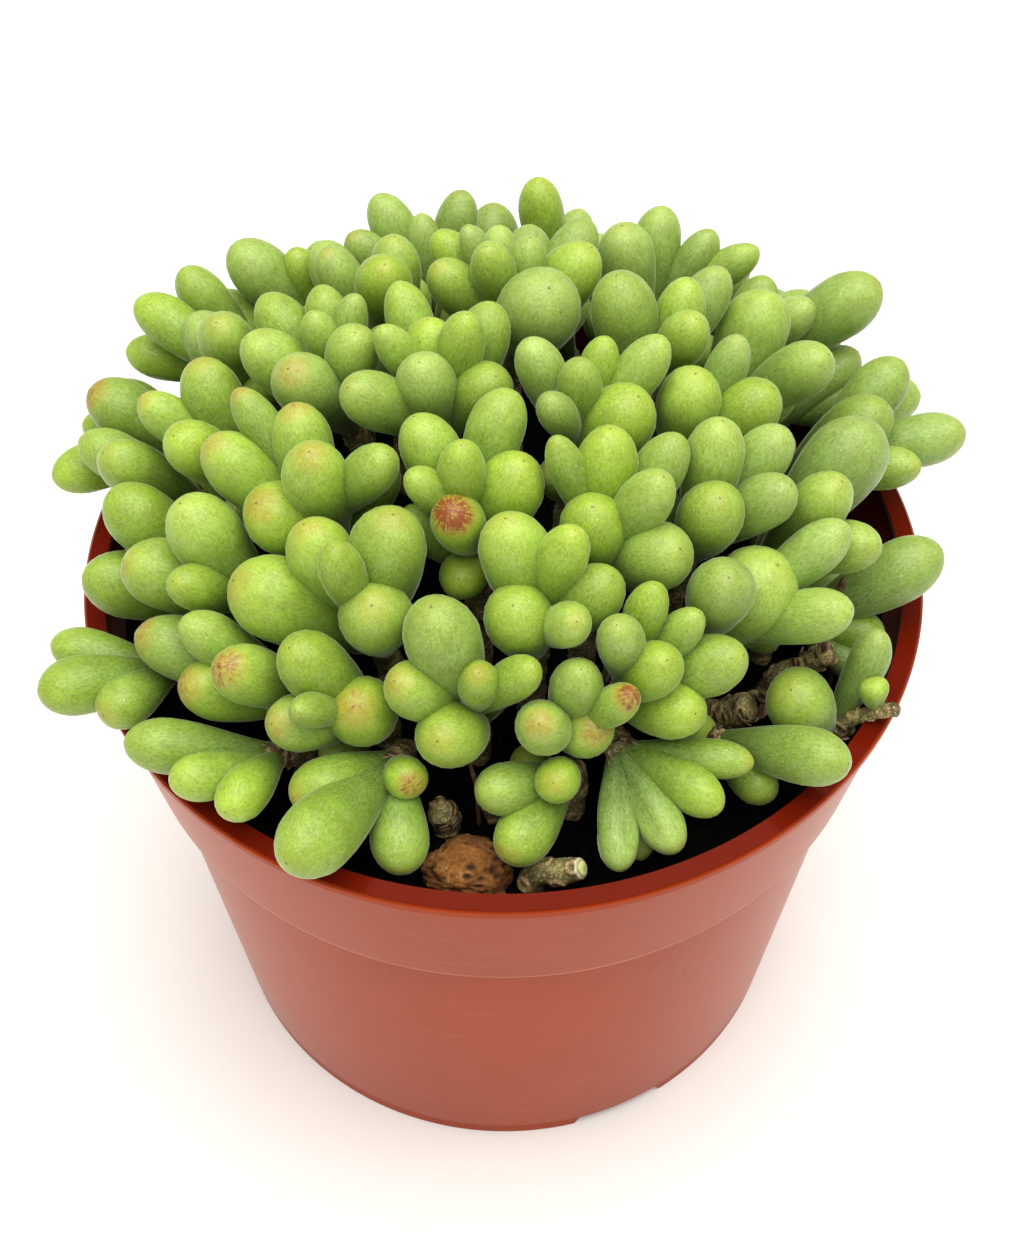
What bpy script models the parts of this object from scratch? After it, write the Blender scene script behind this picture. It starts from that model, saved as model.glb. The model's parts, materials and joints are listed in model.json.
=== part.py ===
"""A dragon egg succulent in a 15 cm nursery pot.

The pot is one turned shell with a foot ring and drain holes. Soil fills it, a lava pebble lies on
the soil, and leafy stems stand in holes in it. Each stem and its egg-shaped leaves are one solid.
The origin is on the ground, under the middle of the whole plant. Lengths in the lists and rules
below are millimetres round the pot's axis, and every mesh is made in metres.
"""

import math

import bmesh
import bpy
import numpy as np
from mathutils import Matrix, Vector

MM = 0.001

# Where the pot's axis stands, so that the origin is under the middle of the whole plant
POT_AXIS = (-0.6, -1.5)

# Pot
POT_HEIGHT = 112.5
RIM_RADIUS = 75.0
LIP_WIDTH = 3.6
LIP_THICKNESS = 1.6
LIP_ROUNDING = 0.5
LIP_FILLET = 1.5
BAND_TOP_RADIUS = 74.2
BAND_FOOT_RADIUS = 69.6
BAND_HEIGHT = 30.0
BAND_STEP = 2.2
CORNER = 0.4
FOOT_RADIUS = 59.0
WALL = 1.3
BASE_HEIGHT = 3.0
BASE_THICKNESS = 1.6
FOOT_RING_WIDTH = 2.4
FOOT_RING_STEP = 0.4
POT_SIDES = 40
NOTCH_WIDTH = 19.0
NOTCH_HEIGHT = 2.2
NOTCH_BEARINGS = (23.0, 143.0, 263.0)
DRAIN_RADIUS = 4.5
DRAIN_CIRCLE = 38.0
DRAINS = 6
DRAIN_SIDES = 12

# Soil and stone
SOIL_TOP = 100.0
SOIL_GAP = 0.5
SOIL_SIDES = 24
SOIL_RINGS = (60.0, 42.0, 22.0)
SOIL_BUMP = 0.9
SOIL_WAVES = ((0.21, 0.08, 1.3), (-0.12, 0.33, 0.4), (0.17, -0.24, 2.2))
HOLE_DEPTH = 7.0
HOLE_GAP = 0.9
HOLE_SIDES = 6
STONE_MIDDLE = (-6.5, -60.5, 102.5)
STONE_REACH = (7.6, 6.2, 5.2)
STONE_ROUGHNESS = 0.10
STONE_WAVES = ((3.1, 0.7), (3.7, 2.1), (3.3, 4.0))
STONE_BED_SCALE = 1.07

# Canopy: half an egg, its middle, and how far it reaches along x, y and z
CANOPY_MIDDLE = np.array((0.0, 7.0, 114.5))
CANOPY_REACH = np.array((78.0, 66.0, 47.0))
TIP_SPACING = 0.52
HIDDEN_TIPS = 1500
HIDDEN_LOWEST = 0.06
HIDDEN_REACH = (0.95, 1.05)
HIDDEN_LEAF_WIDTHS = (8.0, 11.5)
OPEN_SIDE = np.array((0.0, -0.64, 0.77))
OPEN_LIMIT = 0.10
GOLDEN_ANGLE = math.pi * (3 - math.sqrt(5))
SEED = 27

# Shoots: how many share the canopy, how upright they grow along x, y and z, and their heads and feet
SHOOT_MIDDLES = 42
GATHERING_TURNS = 30
UPRIGHT_GROWTH = np.array((0.9, 0.3, 1.0))
HEAD_DEPTH = 18.5
HEAD_FLOOR = 117.0
FOOT_SHARE = 0.84
FOOT_SPACING = 7.4
FOOT_LIMIT = 63.0
SPREADING_TURNS = 30
SPREADING_STEP = 0.4

# Stems
STEM_RADIUS = 2.6
STEM_TAPER = 0.85
STRAIGHT_ABOVE_SOIL = 1.6
FOOT_CLEARANCE = 0.5
BEND_SHARE = 0.45
STEM_POINTS = 5
STEM_SIDES = 6
BARE_STEM_SIDES = 8
BARE_STEM_SWELLING = (0.06, 2.4)
SHARP_ANGLE = 50

# Leaves: where along a leaf it is widest, how thin its neck is, and the rings of its mesh
BELLY = 0.72
NECK = 0.38
SWELL_POWER = 1.5
LEAF_SIDES = 5
SEAM_THINNING = 0.82
LEAF_RINGS = (1.0, 0.92, 0.72, 0.36, -0.08)
LEAF_FULLNESS = 1.06
LEAF_LENGTH_BASE = 12.0
LEAF_LENGTH_SHARE = 1.35
LEAF_LENGTHS = (17.0, 30.0)
ROOT_DEPTH = 13.0
LOW_ROOT_DEPTH = 4.0
ROOT_SHARE = 0.6
LEAF_GAP = 0.5
LEAF_PRESS = 0.84
BALL_FULLNESS = 1.04
SHARED_ROOT = 0.6
POT_CLEARANCE = 1.2
SOIL_CLEARANCE = 1.6
MEETING_RANGE = 24.0
SETTLING_TURNS = 180
LARGEST_MOVE = 1.2
MOVE_SHARE = 0.6
DRAWN_TURNS = 0.8
DRAWN_BACK = 0.04
SLIMMING_TURNS = 14
MOST_SLIMMING = 0.8
INNER_TIPS = 2400
INNER_LOWEST = -0.1
INNER_LEAF_WIDTHS = (6.0, 9.0)
INNER_LEAF_LENGTHS = (11.0, 24.0)
INNER_REACH = (0.70, 0.92)
MOST_LEAVES = 262
NOTHING = 1e-9

# Leaf tips of the canopy: lean to the right and to the front in degrees, the leaf's width,
# and how far out the tip stands, where 1 is the canopy's surface
CANOPY_TIPS = (
    (-44.5, -4, 10.5, 1), (-49, -2, 8, 1), (-39.5, -13, 10, 1), (-31.5, -13.5, 9.5, 1),
    (-32, -5, 10, 1), (-24.5, -13.5, 8, 1), (-25, -29, 8, 1), (-25, 2, 11, 1),
    (-20, 0, 9.5, 1), (-18.5, -8, 6, 1), (-23, -6, 6.5, 1), (-14.5, -27, 9.5, 1),
    (-15, -17, 10, 1), (-8.3, -27, 8, 1), (-6, -19, 9, 1), (-12, -8.5, 8, 1),
    (-3.5, -23.5, 6, 1), (-1.5, -16.5, 8, 1), (-2.5, -3, 9, 1), (-4.3, 1.5, 8, 1),
    (-10.3, 0, 9.5, 1), (-14, -1, 6.5, 1), (-9.5, 6.5, 10, 1), (-2.5, 6.5, 10, 1),
    (0.8, 13, 9.5, 1), (-16, 10, 9.5, 1), (-10.8, 17.5, 10, 1), (-44.5, 11, 10, 1),
    (-33, 12, 7, 1), (-28, 13.5, 10, 1), (-35, 19, 11, 1), (-30.5, 21, 12, 1),
    (-24.5, 22, 11, 1), (-17.5, 23, 8.5, 1), (-11.5, 27.5, 6.5, 1), (-41, 24.5, 12, 1),
    (-27, 34, 11, 1), (-19, 37, 7.5, 1), (-13, 34.5, 12.5, 1), (-6, 32, 9, 1),
    (-3.8, 26, 8, 1), (0.5, 33.5, 11.5, 1), (2.8, 24, 11, 1), (-9, 46.5, 12.5, 1),
    (0.3, 46, 11.5, 1), (-20, 45, 12, 1), (-36.5, 41, 14, 1), (-58.5, 31, 12, 1),
    (-59.5, 14.5, 11.5, 1), (-61, 7, 10, 1), (-57, 47, 11, 1), (-46, 34, 8, 1),
    (-46, 47.5, 8.5, 1), (-39.5, 53, 10, 1), (-48, 58, 11, 1), (-35, 60, 9.5, 1),
    (-45, 67, 11, 1), (-27, 51.5, 11, 1), (-30.5, 58, 6, 1), (-27, 65, 11.5, 1),
    (-14, 58.5, 9.5, 1), (-1, 57, 7, 1), (2, 57.5, 7, 1), (-11.5, 68, 11, 1),
    (4, -21.5, 7.5, 1), (9, -20, 10.5, 1), (5, -12.5, 14.5, 1), (10.7, -33, 8.5, 1),
    (4.5, -31, 9, 1), (0, -25, 7, 1), (19, -40, 11, 1), (17, -13.5, 12, 1),
    (24, -16, 9, 1), (24.5, -5, 8.5, 1), (30, -20, 9, 1), (37, -22, 12.5, 1),
    (48.5, -29, 8, 1), (46, -7.5, 10, 1), (54.5, 4, 14, 1), (25.5, 3.5, 11, 1),
    (33, 5, 10.5, 1), (28.5, 2.5, 7, 1), (18, 6, 8, 1), (14, 3.5, 7, 1),
    (9.5, 8, 7.5, 1), (2.8, 5.5, 8, 1), (15.5, 9.5, 12, 1), (5.5, 14, 6.5, 1),
    (6.5, 21.5, 6, 1), (11, 24, 10.5, 1), (19.5, 21.5, 8.5, 1), (27, 20, 10, 1),
    (36.5, 14.5, 9, 1), (29.5, 23.5, 11, 1), (35.5, 25, 9, 1), (18.5, 27.5, 9, 1),
    (12.5, 30.5, 11, 1), (21.5, 34, 11.5, 1), (6.5, 36, 8, 1), (13, 40, 10, 1),
    (40, 37, 14, 1), (45, 40, 9, 1), (32, 42, 11, 1), (48, 22, 10, 1),
    (46, 29, 8.5, 1), (53, 27, 9, 1), (32, 53, 10, 1), (17.5, 61, 6.5, 1),
    (20, 54.5, 9.5, 1), (24.5, 62, 10.5, 1), (10.5, 59, 8.5, 1), (13.5, 66.5, 9, 1),
    (6, 64, 9, 1), (17, 48, 8, 1), (19, 45, 7, 1), (8, 47, 7.5, 1), (22.5, 50, 6.5, 1),
    (5, -49, 8.5, 1.1), (-5.5, -48.5, 8, 1.06), (-12, -48, 7, 1), (-19, -46.5, 8.5, 1.06),
    (-22.5, -44, 8, 1), (-27, -38, 9, 1), (-33, -42.5, 7, 1), (-39.5, -39.5, 11, 1.08),
    (-47, -35, 9, 1.1), (-53, -31, 9, 1.1), (-50, -28, 10, 1), (-68, -18, 11, 1.05),
    (-74, -9, 9, 1.02), (26.5, -44.5, 9.5, 1.05), (32, -43, 7.5, 1.04), (37, -40, 7, 1.04),
    (44, -37, 8.5, 1), (56, -29, 11.5, 1.14), (64, -21, 10, 1.06), (67, -10, 11, 0.97),
    (75, -9, 10, 1.1), (74, -1, 8, 0.98), (-82, 30, 12, 0.98),
)

# Shoots that spread low: where the stem stands, where its head is, and the leaf tips and widths
LOW_SHOOTS = (
    ((9, -42), (9, -50, 114), ((1, -66, 109, 9.5), (-4.5, -57, 119, 8.5), (8.5, -54, 125, 7.5))),
    ((20, -38), (19, -48, 117), ((22, -62, 107, 7), (17.5, -66, 110, 7), (35, -58, 118, 8),
                                 (38, -52, 121, 6.5), (28, -66, 112, 8))),
    ((-18, -40), (-19, -50, 116), ((-33, -58, 122, 10), (-17.3, -69, 111, 9.5),
                                   (-34, -71, 120, 12), (-14.5, -56, 121, 7))),
    ((-34, -38), (-40, -47, 115), ((-54.5, -54, 118, 8), (-57, -43.5, 119, 9.5), (-44, -61.5, 118, 8))),
    ((-50, -24), (-59, -30, 117), ((-76.5, -26, 120, 8), (-76, -38, 120, 10), (-66, -41.5, 121, 9))),
    ((46, -14), (54, -16, 112), ((75, -12, 123, 11), (65, -26, 107, 6), (68, -20, 112, 7.5))),
    ((50, -34), (57, -36, 109), ((41, -43, 120, 11.5), (62, -31, 120, 7))),
    ((33, -40), (37, -43, 113), ((55, -52.5, 119, 9.5), (44, -52, 110, 7))),
)

# Old stems with no leaves: where each stands, where it ends, and its radius
BARE_STEMS = (
    ((31, -32), (42, -35.5, 113), 3.0),
    ((4, -62.5), (12.5, -64.5, 109), 2.5),
    ((46, -24), (56, -25, 115), 2.2),
    ((-10, -51), (-11, -53, 109), 2.6),
    ((-2, -48), (-2, -50, 111), 2.6),
)


def canopy_point(right, front, reach=1.0):
    """The canopy's surface where it leans this many degrees to the right and to the front."""
    lean = np.radians(np.hypot(right, front))
    bearing = np.arctan2(right, front)
    flat = np.sin(lean)
    way = np.stack([flat * np.sin(bearing), -flat * np.cos(bearing), np.cos(lean)], -1)
    return CANOPY_MIDDLE + way * CANOPY_REACH * np.asarray(reach)[..., None]


def outward(points):
    """The canopy's outward direction at each point."""
    way = (points - CANOPY_MIDDLE) / CANOPY_REACH ** 2
    return way / np.linalg.norm(way, axis=-1, keepdims=True)


def growth_way(points):
    """Which way the shoots grow there: outward, but more upright, above all at the front."""
    way = outward(points) * UPRIGHT_GROWTH
    return way / np.linalg.norm(way, axis=-1, keepdims=True)


def sunflower(count, lowest_cosine):
    """Evenly spread leans in degrees, as seeds sit in a sunflower, from the top down."""
    k = np.arange(count) + 0.5
    lean = np.degrees(np.arccos(1 - (1 - lowest_cosine) * k / count))
    bearing = k * GOLDEN_ANGLE
    return lean * np.sin(bearing), lean * np.cos(bearing)


def canopy_tips(draw):
    """The listed tips, and more drawn at random wherever the hidden side is still bare."""
    right, front, widths, reach = np.array(CANOPY_TIPS, float).T
    tips = canopy_point(right, front, reach)
    rights, fronts = sunflower(HIDDEN_TIPS, HIDDEN_LOWEST)
    for k in draw.permutation(HIDDEN_TIPS):
        point = canopy_point(rights[k], fronts[k], draw.uniform(*HIDDEN_REACH))
        width = draw.uniform(*HIDDEN_LEAF_WIDTHS)
        away = np.linalg.norm(tips - point, axis=1)
        hidden = outward(point) @ OPEN_SIDE < OPEN_LIMIT
        if hidden and (away > TIP_SPACING * (widths + width)).all():
            tips = np.vstack([tips, point])
            widths = np.append(widths, width)
    return tips, widths


def gather(tips):
    """Which shoot each tip belongs to: the nearest of the evenly spread middles, moved to its tips."""
    middles = canopy_point(*sunflower(SHOOT_MIDDLES, 0.0))
    for _ in range(GATHERING_TURNS):
        shoot = np.linalg.norm(tips[:, None] - middles, axis=2).argmin(axis=1)
        shoot = np.unique(shoot, return_inverse=True)[1].reshape(-1)
        middles = np.array([tips[shoot == k].mean(axis=0) for k in range(shoot.max() + 1)])
    return shoot, middles


def unit(vector):
    return vector / np.linalg.norm(vector)


def stem_path(foot, head, way):
    """Points from the foot in the soil, upright to the soil's top, then curving to the head."""
    top = np.array((foot[0], foot[1], SOIL_TOP + STRAIGHT_ABOVE_SOIL))
    rise = BEND_SHARE * np.linalg.norm(head - top)
    first = top + np.array((0, 0, rise))
    last = head - way * rise
    t = np.linspace(0, 1, STEM_POINTS - 1)[:, None]
    curve = (1 - t) ** 3 * top + 3 * (1 - t) ** 2 * t * first + 3 * (1 - t) * t ** 2 * last + t ** 3 * head
    buried = np.array((foot[0], foot[1], SOIL_TOP - HOLE_DEPTH + FOOT_CLEARANCE))
    return np.vstack([buried, curve])


def dense(path, count=20):
    """The same path with many points, for measuring clearances."""
    t = np.linspace(0, len(path) - 1, count)
    return np.stack([np.interp(t, np.arange(len(path)), path[:, axis]) for axis in range(3)], -1)


def spread_feet(feet, heads, ways, fixed):
    """Moves the feet until no two stems come closer than two radii and a gap, and returns the paths."""
    still = [dense(path) for path in fixed]
    for _ in range(SPREADING_TURNS):
        lines = np.array([dense(stem_path(*stem)) for stem in zip(feet, heads, ways)] + still)
        for a in range(len(feet)):
            gap = lines[a][:, None] - lines[:, None]
            far = np.linalg.norm(gap, axis=3)
            far[a] = FOOT_SPACING
            for b in np.flatnonzero(far.min(axis=(1, 2)) < FOOT_SPACING):
                near = np.unravel_index(far[b].argmin(), far[b].shape)
                short = FOOT_SPACING - far[b][near]
                feet[a] = feet[a] + unit(gap[b][near][:2] + NOTHING) * short * SPREADING_STEP
            feet[a] = feet[a] * min(1.0, FOOT_LIMIT / np.linalg.norm(feet[a]))
    return [stem_path(*stem) for stem in zip(feet, heads, ways)]


def leaf_profile(t):
    """Radius along a leaf, 1 at its widest: a neck that swells to the belly, then a round cap."""
    swell = NECK + (1 - NECK) * np.sin(np.pi / 2 * np.clip(t / BELLY, 0, 1)) ** SWELL_POWER
    cap = np.sqrt(np.clip(1 - (np.clip(t - BELLY, 0, 1) / (1 - BELLY)) ** 2, 0, 1))
    return np.where(t < BELLY, swell, cap)


def leaf_root(path, tip, width, deepest=ROOT_DEPTH):
    """The highest point near the stem's head from which a leaf of this width reaches its tip."""
    length = np.clip(LEAF_LENGTH_BASE + LEAF_LENGTH_SHARE * width, *LEAF_LENGTHS)
    points = dense(path, 60)[::-1]
    down = np.append(0, np.cumsum(np.linalg.norm(np.diff(points, axis=0), axis=1)))
    points = points[down <= min(deepest, ROOT_SHARE * down[-1])]
    far = np.linalg.norm(points - tip, axis=1) >= length
    return points[far.argmax()] if far.any() else points[-1]


# Each leaf is measured as a row of balls along its axis
BALLS_AT = np.array((0.18, 0.34, 0.52, 0.70, 0.86))
BALL_SHARE = leaf_profile(BALLS_AT) * BALL_FULLNESS


def balls(tips, roots, widths):
    middles = roots[:, None] + BALLS_AT[:, None] * (tips - roots)[:, None]
    return middles.reshape(-1, 3), (widths[:, None] / 2 * BALL_SHARE).reshape(-1)


def pot_push(middle, radius):
    """How far a ball moves to clear the soil, the wall and the lip."""
    push = np.zeros_like(middle)
    push[:, 2] += np.maximum(SOIL_TOP + SOIL_CLEARANCE + radius - middle[:, 2], 0)
    bore = RIM_RADIUS - LIP_WIDTH - POT_CLEARANCE
    lip = POT_HEIGHT + POT_CLEARANCE
    around = np.hypot(middle[:, 0], middle[:, 1])
    low = (middle[:, 2] - radius < lip) & (around + radius > bore)
    inside = low & (middle[:, 2] < lip) & (around < bore)
    inward = middle[:, :2] / around[:, None] * (around + radius - bore)[:, None]
    push[inside, :2] -= inward[inside]
    above = low & ~inside & (around - radius < RIM_RADIUS + POT_CLEARANCE)
    push[above, 2] += (lip + radius - middle[:, 2])[above]
    return push


def neighbours(middle, shoot, stems):
    """Pairs of balls of two leaves, and of a ball and a point of another stem, that may meet."""
    points, _, stem_owner = stems
    leaf = np.arange(len(middle)) // len(BALLS_AT)
    owner = shoot[leaf]
    at = np.tile(BALLS_AT, len(shoot))
    near = np.linalg.norm(middle[:, None] - middle, axis=2) < MEETING_RANGE
    rooted = (owner[:, None] == owner) & ((at[:, None] < SHARED_ROOT) | (at < SHARED_ROOT))
    one, other = np.nonzero(np.triu(near & (leaf[:, None] != leaf) & ~rooted))
    close = np.linalg.norm(middle[:, None] - points, axis=2) < MEETING_RANGE
    ball, stem = np.nonzero(close & (owner[:, None] != stem_owner))
    return one, other, owner[one] == owner[other], ball, stem


def presses(middle, radius, pairs, stems):
    """How deep each pair presses, and the direction that frees its first ball."""
    one, other, kin, ball, stem = pairs
    points, radii, _ = stems
    gap = middle[one] - middle[other]
    far = np.linalg.norm(gap, axis=1) + NOTHING
    need = (radius[one] + radius[other]) * np.where(kin, LEAF_PRESS, 1) + np.where(kin, 0, LEAF_GAP)
    reach = middle[ball] - points[stem]
    near = np.linalg.norm(reach, axis=1) + NOTHING
    lean = radius[ball] + radii[stem] + LEAF_GAP - near
    return gap / far[:, None], np.maximum(need - far, 0), reach / near[:, None], np.maximum(lean, 0)


def move_apart(tips, roots, widths, pairs, stems):
    """Pushes crowded leaves apart by moving their tips, which are drawn back to where they began."""
    start = tips.copy()
    one, other, _, ball, _ = pairs
    leaf = np.arange(len(tips) * len(BALLS_AT)) // len(BALLS_AT)
    at = np.tile(BALLS_AT, len(tips))[:, None]
    for turn in range(SETTLING_TURNS):
        middle, radius = balls(tips, roots, widths)
        way, deep, side, lean = presses(middle, radius, pairs, stems)
        push = pot_push(middle, radius)
        half = 0.5 * way * deep[:, None]
        np.add.at(push, one, half)
        np.add.at(push, other, -half)
        np.add.at(push, ball, side * lean[:, None])
        move = np.zeros_like(tips)
        np.add.at(move, leaf, push * at)
        size = np.linalg.norm(move, axis=1, keepdims=True)
        move *= np.minimum(1, LARGEST_MOVE / np.maximum(size, NOTHING))
        pull = DRAWN_BACK if turn < DRAWN_TURNS * SETTLING_TURNS else 0.0
        tips = tips + MOVE_SHARE * move + pull * (start - tips)
    return tips


def slim(tips, roots, widths, pairs, stems):
    """Slims the leaves that still cross a leaf of another stem, a stem or the pot."""
    one, other, kin, ball, _ = pairs
    leaf = np.arange(len(tips) * len(BALLS_AT)) // len(BALLS_AT)
    for _ in range(SLIMMING_TURNS):
        middle, radius = balls(tips, roots, widths)
        _, deep, _, lean = presses(middle, radius, pairs, stems)
        shrink = np.where(kin, 0, deep) / (radius[one] + radius[other])
        keep = np.ones(len(tips))
        np.minimum.at(keep, leaf[one], 1 - shrink)
        np.minimum.at(keep, leaf[other], 1 - shrink)
        np.minimum.at(keep, leaf[ball], 1 - lean / radius[ball])
        np.minimum.at(keep, leaf, 1 - np.linalg.norm(pot_push(middle, radius), axis=1) / radius)
        widths = widths * np.maximum(keep, MOST_SLIMMING)
    return widths


def fits(tip, root, width, stem, tips, roots, widths, shoot, stems):
    """Whether a new leaf of this stem crosses no leaf, no other stem and not the pot."""
    points, radii, stem_owner = stems
    middle, radius = balls(tip[None], root[None], np.array([width]))
    others, sizes = balls(tips, roots, widths)
    kin = np.repeat(shoot, len(BALLS_AT)) == stem
    need = (radius[:, None] + sizes) * np.where(kin, LEAF_PRESS, 1) + np.where(kin, 0, LEAF_GAP)
    crossed = np.linalg.norm(middle[:, None] - others, axis=2) < need
    crossed[:2] &= ~kin
    near = np.linalg.norm(middle[:, None] - points, axis=2) < radius[:, None] + radii + LEAF_GAP
    near[:, stem_owner == stem] = False
    return not (crossed.any() or near.any() or np.abs(pot_push(middle, radius)).max() > 0)


def inner_leaves(draw, tips, roots, widths, shoot, paths, stems):
    """Adds smaller leaves below the canopy's surface, wherever one fits between the others."""
    rights, fronts = sunflower(INNER_TIPS, INNER_LOWEST)
    heads = np.array([path[-1] for path in paths])
    for k in draw.permutation(INNER_TIPS):
        if len(tips) >= MOST_LEAVES:
            break
        tip = canopy_point(rights[k], fronts[k], draw.uniform(*INNER_REACH))
        width = draw.uniform(*INNER_LEAF_WIDTHS)
        stem = np.linalg.norm(heads - tip, axis=1).argmin()
        root = leaf_root(paths[stem], tip, width)
        if not INNER_LEAF_LENGTHS[0] < np.linalg.norm(tip - root) < INNER_LEAF_LENGTHS[1]:
            continue
        if fits(tip, root, width, stem, tips, roots, widths, shoot, stems):
            tips = np.vstack([tips, tip])
            roots = np.vstack([roots, root])
            widths = np.append(widths, width)
            shoot = np.append(shoot, stem)
    return tips, roots, widths, shoot


def canopy_shoots(tips):
    """The canopy's shoots: which shoot each tip belongs to, their heads, their ways and their feet."""
    shoot, middles = gather(tips)
    ways = growth_way(middles)
    heads = middles - HEAD_DEPTH * ways
    heads[:, 2] = np.maximum(heads[:, 2], HEAD_FLOOR)
    return shoot, list(heads), list(ways), [FOOT_SHARE * head[:2] for head in heads]


def add_low_shoots(tips, widths, shoot, heads, ways, feet):
    """The same with the low shoots of the list after them."""
    for foot, head, leaves in LOW_SHOOTS:
        rows = np.array(leaves, float)
        heads.append(np.array(head, float))
        feet.append(np.array(foot, float))
        ways.append(unit(rows[:, :3].mean(axis=0) - heads[-1]))
        tips = np.vstack([tips, rows[:, :3]])
        widths = np.append(widths, rows[:, 3])
        shoot = np.append(shoot, [len(heads) - 1] * len(rows))
    return tips, widths, shoot


def bare_path(foot, end):
    """The path of an old stem with no leaves."""
    foot = np.array(foot, float)
    end = np.array(end, float)
    return stem_path(foot, end, unit(end - (*foot, SOIL_TOP)))


def stem_points(paths, bare):
    """Points along every stem, the stem's radius at each, and which stem each point is on."""
    lines = np.array([dense(path) for path in paths + bare])
    owner = np.repeat(np.arange(len(lines)), lines.shape[1])
    radii = np.array([STEM_RADIUS] * len(paths) + [radius for _, _, radius in BARE_STEMS])
    return lines.reshape(-1, 3), radii[owner], owner


def grow():
    """Every leaf and stem: tips, roots, widths, the shoot of each leaf, stem paths and bare paths."""
    draw = np.random.default_rng(SEED)
    tips, widths = canopy_tips(draw)
    shoot, heads, ways, feet = canopy_shoots(tips)
    tips, widths, shoot = add_low_shoots(tips, widths, shoot, heads, ways, feet)
    bare = [bare_path(foot, end) for foot, end, _ in BARE_STEMS]
    paths = spread_feet(feet, heads, ways, bare)
    depths = np.where(shoot < len(paths) - len(LOW_SHOOTS), ROOT_DEPTH, LOW_ROOT_DEPTH)
    roots = np.array([leaf_root(paths[k], *each) for k, *each in zip(shoot, tips, widths, depths)])
    stems = stem_points(paths, bare)
    pairs = neighbours(balls(tips, roots, widths)[0], shoot, stems)
    tips = move_apart(tips, roots, widths, pairs, stems)
    widths = slim(tips, roots, widths, pairs, stems)
    tips, roots, widths, shoot = inner_leaves(draw, tips, roots, widths, shoot, paths, stems)
    return tips, roots, widths, shoot, paths, bare


def clear_scene():
    for obj in list(bpy.data.objects):
        bpy.data.objects.remove(obj, do_unlink=True)


def new_collection(name):
    collection = bpy.data.collections.new(name)
    bpy.context.scene.collection.children.link(collection)
    return collection


def material(name, colour, roughness):
    made = bpy.data.materials.new(name)
    made.use_nodes = True
    shader = made.node_tree.nodes["Principled BSDF"]
    shader.inputs["Base Color"].default_value = (*colour, 1.0)
    shader.inputs["Roughness"].default_value = roughness
    shader.inputs["Metallic"].default_value = 0.0
    return made


def place(point):
    """A point given round the pot's axis in millimetres, as a world point in metres."""
    return Vector(((point[0] + POT_AXIS[0]) * MM, (point[1] + POT_AXIS[1]) * MM, point[2] * MM))


def new_object(name, mesh, collection, *materials):
    obj = bpy.data.objects.new(name, mesh)
    collection.objects.link(obj)
    for each in materials:
        mesh.materials.append(each)
    return obj


def cutter(obj):
    obj.hide_render = True
    obj.display_type = "WIRE"
    return obj


def evaluated_mesh(obj):
    """The object's mesh with its modifiers or its curve bevel applied."""
    graph = bpy.context.evaluated_depsgraph_get()
    return bpy.data.meshes.new_from_object(obj.evaluated_get(graph))


def turned(name, profile, sides, collection, *materials):
    """A closed profile turned round the pot's axis."""
    mesh = bpy.data.meshes.new(name)
    bm = bmesh.new()
    verts = [bm.verts.new((radius * MM, 0, height * MM)) for radius, height in profile]
    for a, b in zip(verts, verts[1:]):
        bm.edges.new((a, b))
    if profile[0][0] > 0:
        bm.edges.new((verts[-1], verts[0]))
    bm.to_mesh(mesh)
    bm.free()
    obj = new_object(name, mesh, collection, *materials)
    obj.location = place((0, 0, 0))
    screw = obj.modifiers.new("Turn", "SCREW")
    screw.steps = sides
    screw.render_steps = sides
    screw.use_merge_vertices = True
    screw.merge_threshold = 0.00001
    return obj


def rod(name, bottom, height, radius, sides, collection):
    """An upright cutter cylinder."""
    mesh = bpy.data.meshes.new(name)
    bm = bmesh.new()
    bmesh.ops.create_cone(bm, cap_ends=True, segments=sides, radius1=radius * MM, radius2=radius * MM,
                          depth=height * MM)
    bm.to_mesh(mesh)
    bm.free()
    obj = new_object(name, mesh, collection)
    obj.location = place((bottom[0], bottom[1], bottom[2] + height / 2))
    return cutter(obj)


def cut(obj, tools):
    """One Boolean that takes every object of a collection away."""
    boolean = obj.modifiers.new("Cut", "BOOLEAN")
    boolean.operation = "DIFFERENCE"
    boolean.operand_type = "COLLECTION"
    boolean.collection = tools
    boolean.solver = "EXACT"


def inner_radius(height):
    """Radius of the pot's bore at a height."""
    heights = (BASE_HEIGHT, POT_HEIGHT - BAND_HEIGHT, POT_HEIGHT)
    radii = (FOOT_RADIUS, BAND_FOOT_RADIUS - BAND_STEP, BAND_TOP_RADIUS)
    return float(np.interp(height, heights, radii)) - WALL


def make_notch(name, angle, tools):
    """A block that cuts a notch through the foot ring at an angle."""
    mesh = bpy.data.meshes.new(name)
    bm = bmesh.new()
    bmesh.ops.create_cube(bm, size=1.0)
    size = Vector((4 * FOOT_RING_WIDTH, NOTCH_WIDTH, 2 * NOTCH_HEIGHT)) * MM
    bmesh.ops.scale(bm, vec=size, verts=bm.verts)
    bm.to_mesh(mesh)
    bm.free()
    notch = cutter(new_object(name, mesh, tools))
    middle = FOOT_RADIUS - FOOT_RING_STEP - FOOT_RING_WIDTH / 2
    notch.location = place((middle * math.cos(angle), middle * math.sin(angle), 0))
    notch.rotation_euler = (0, 0, angle)


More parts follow.
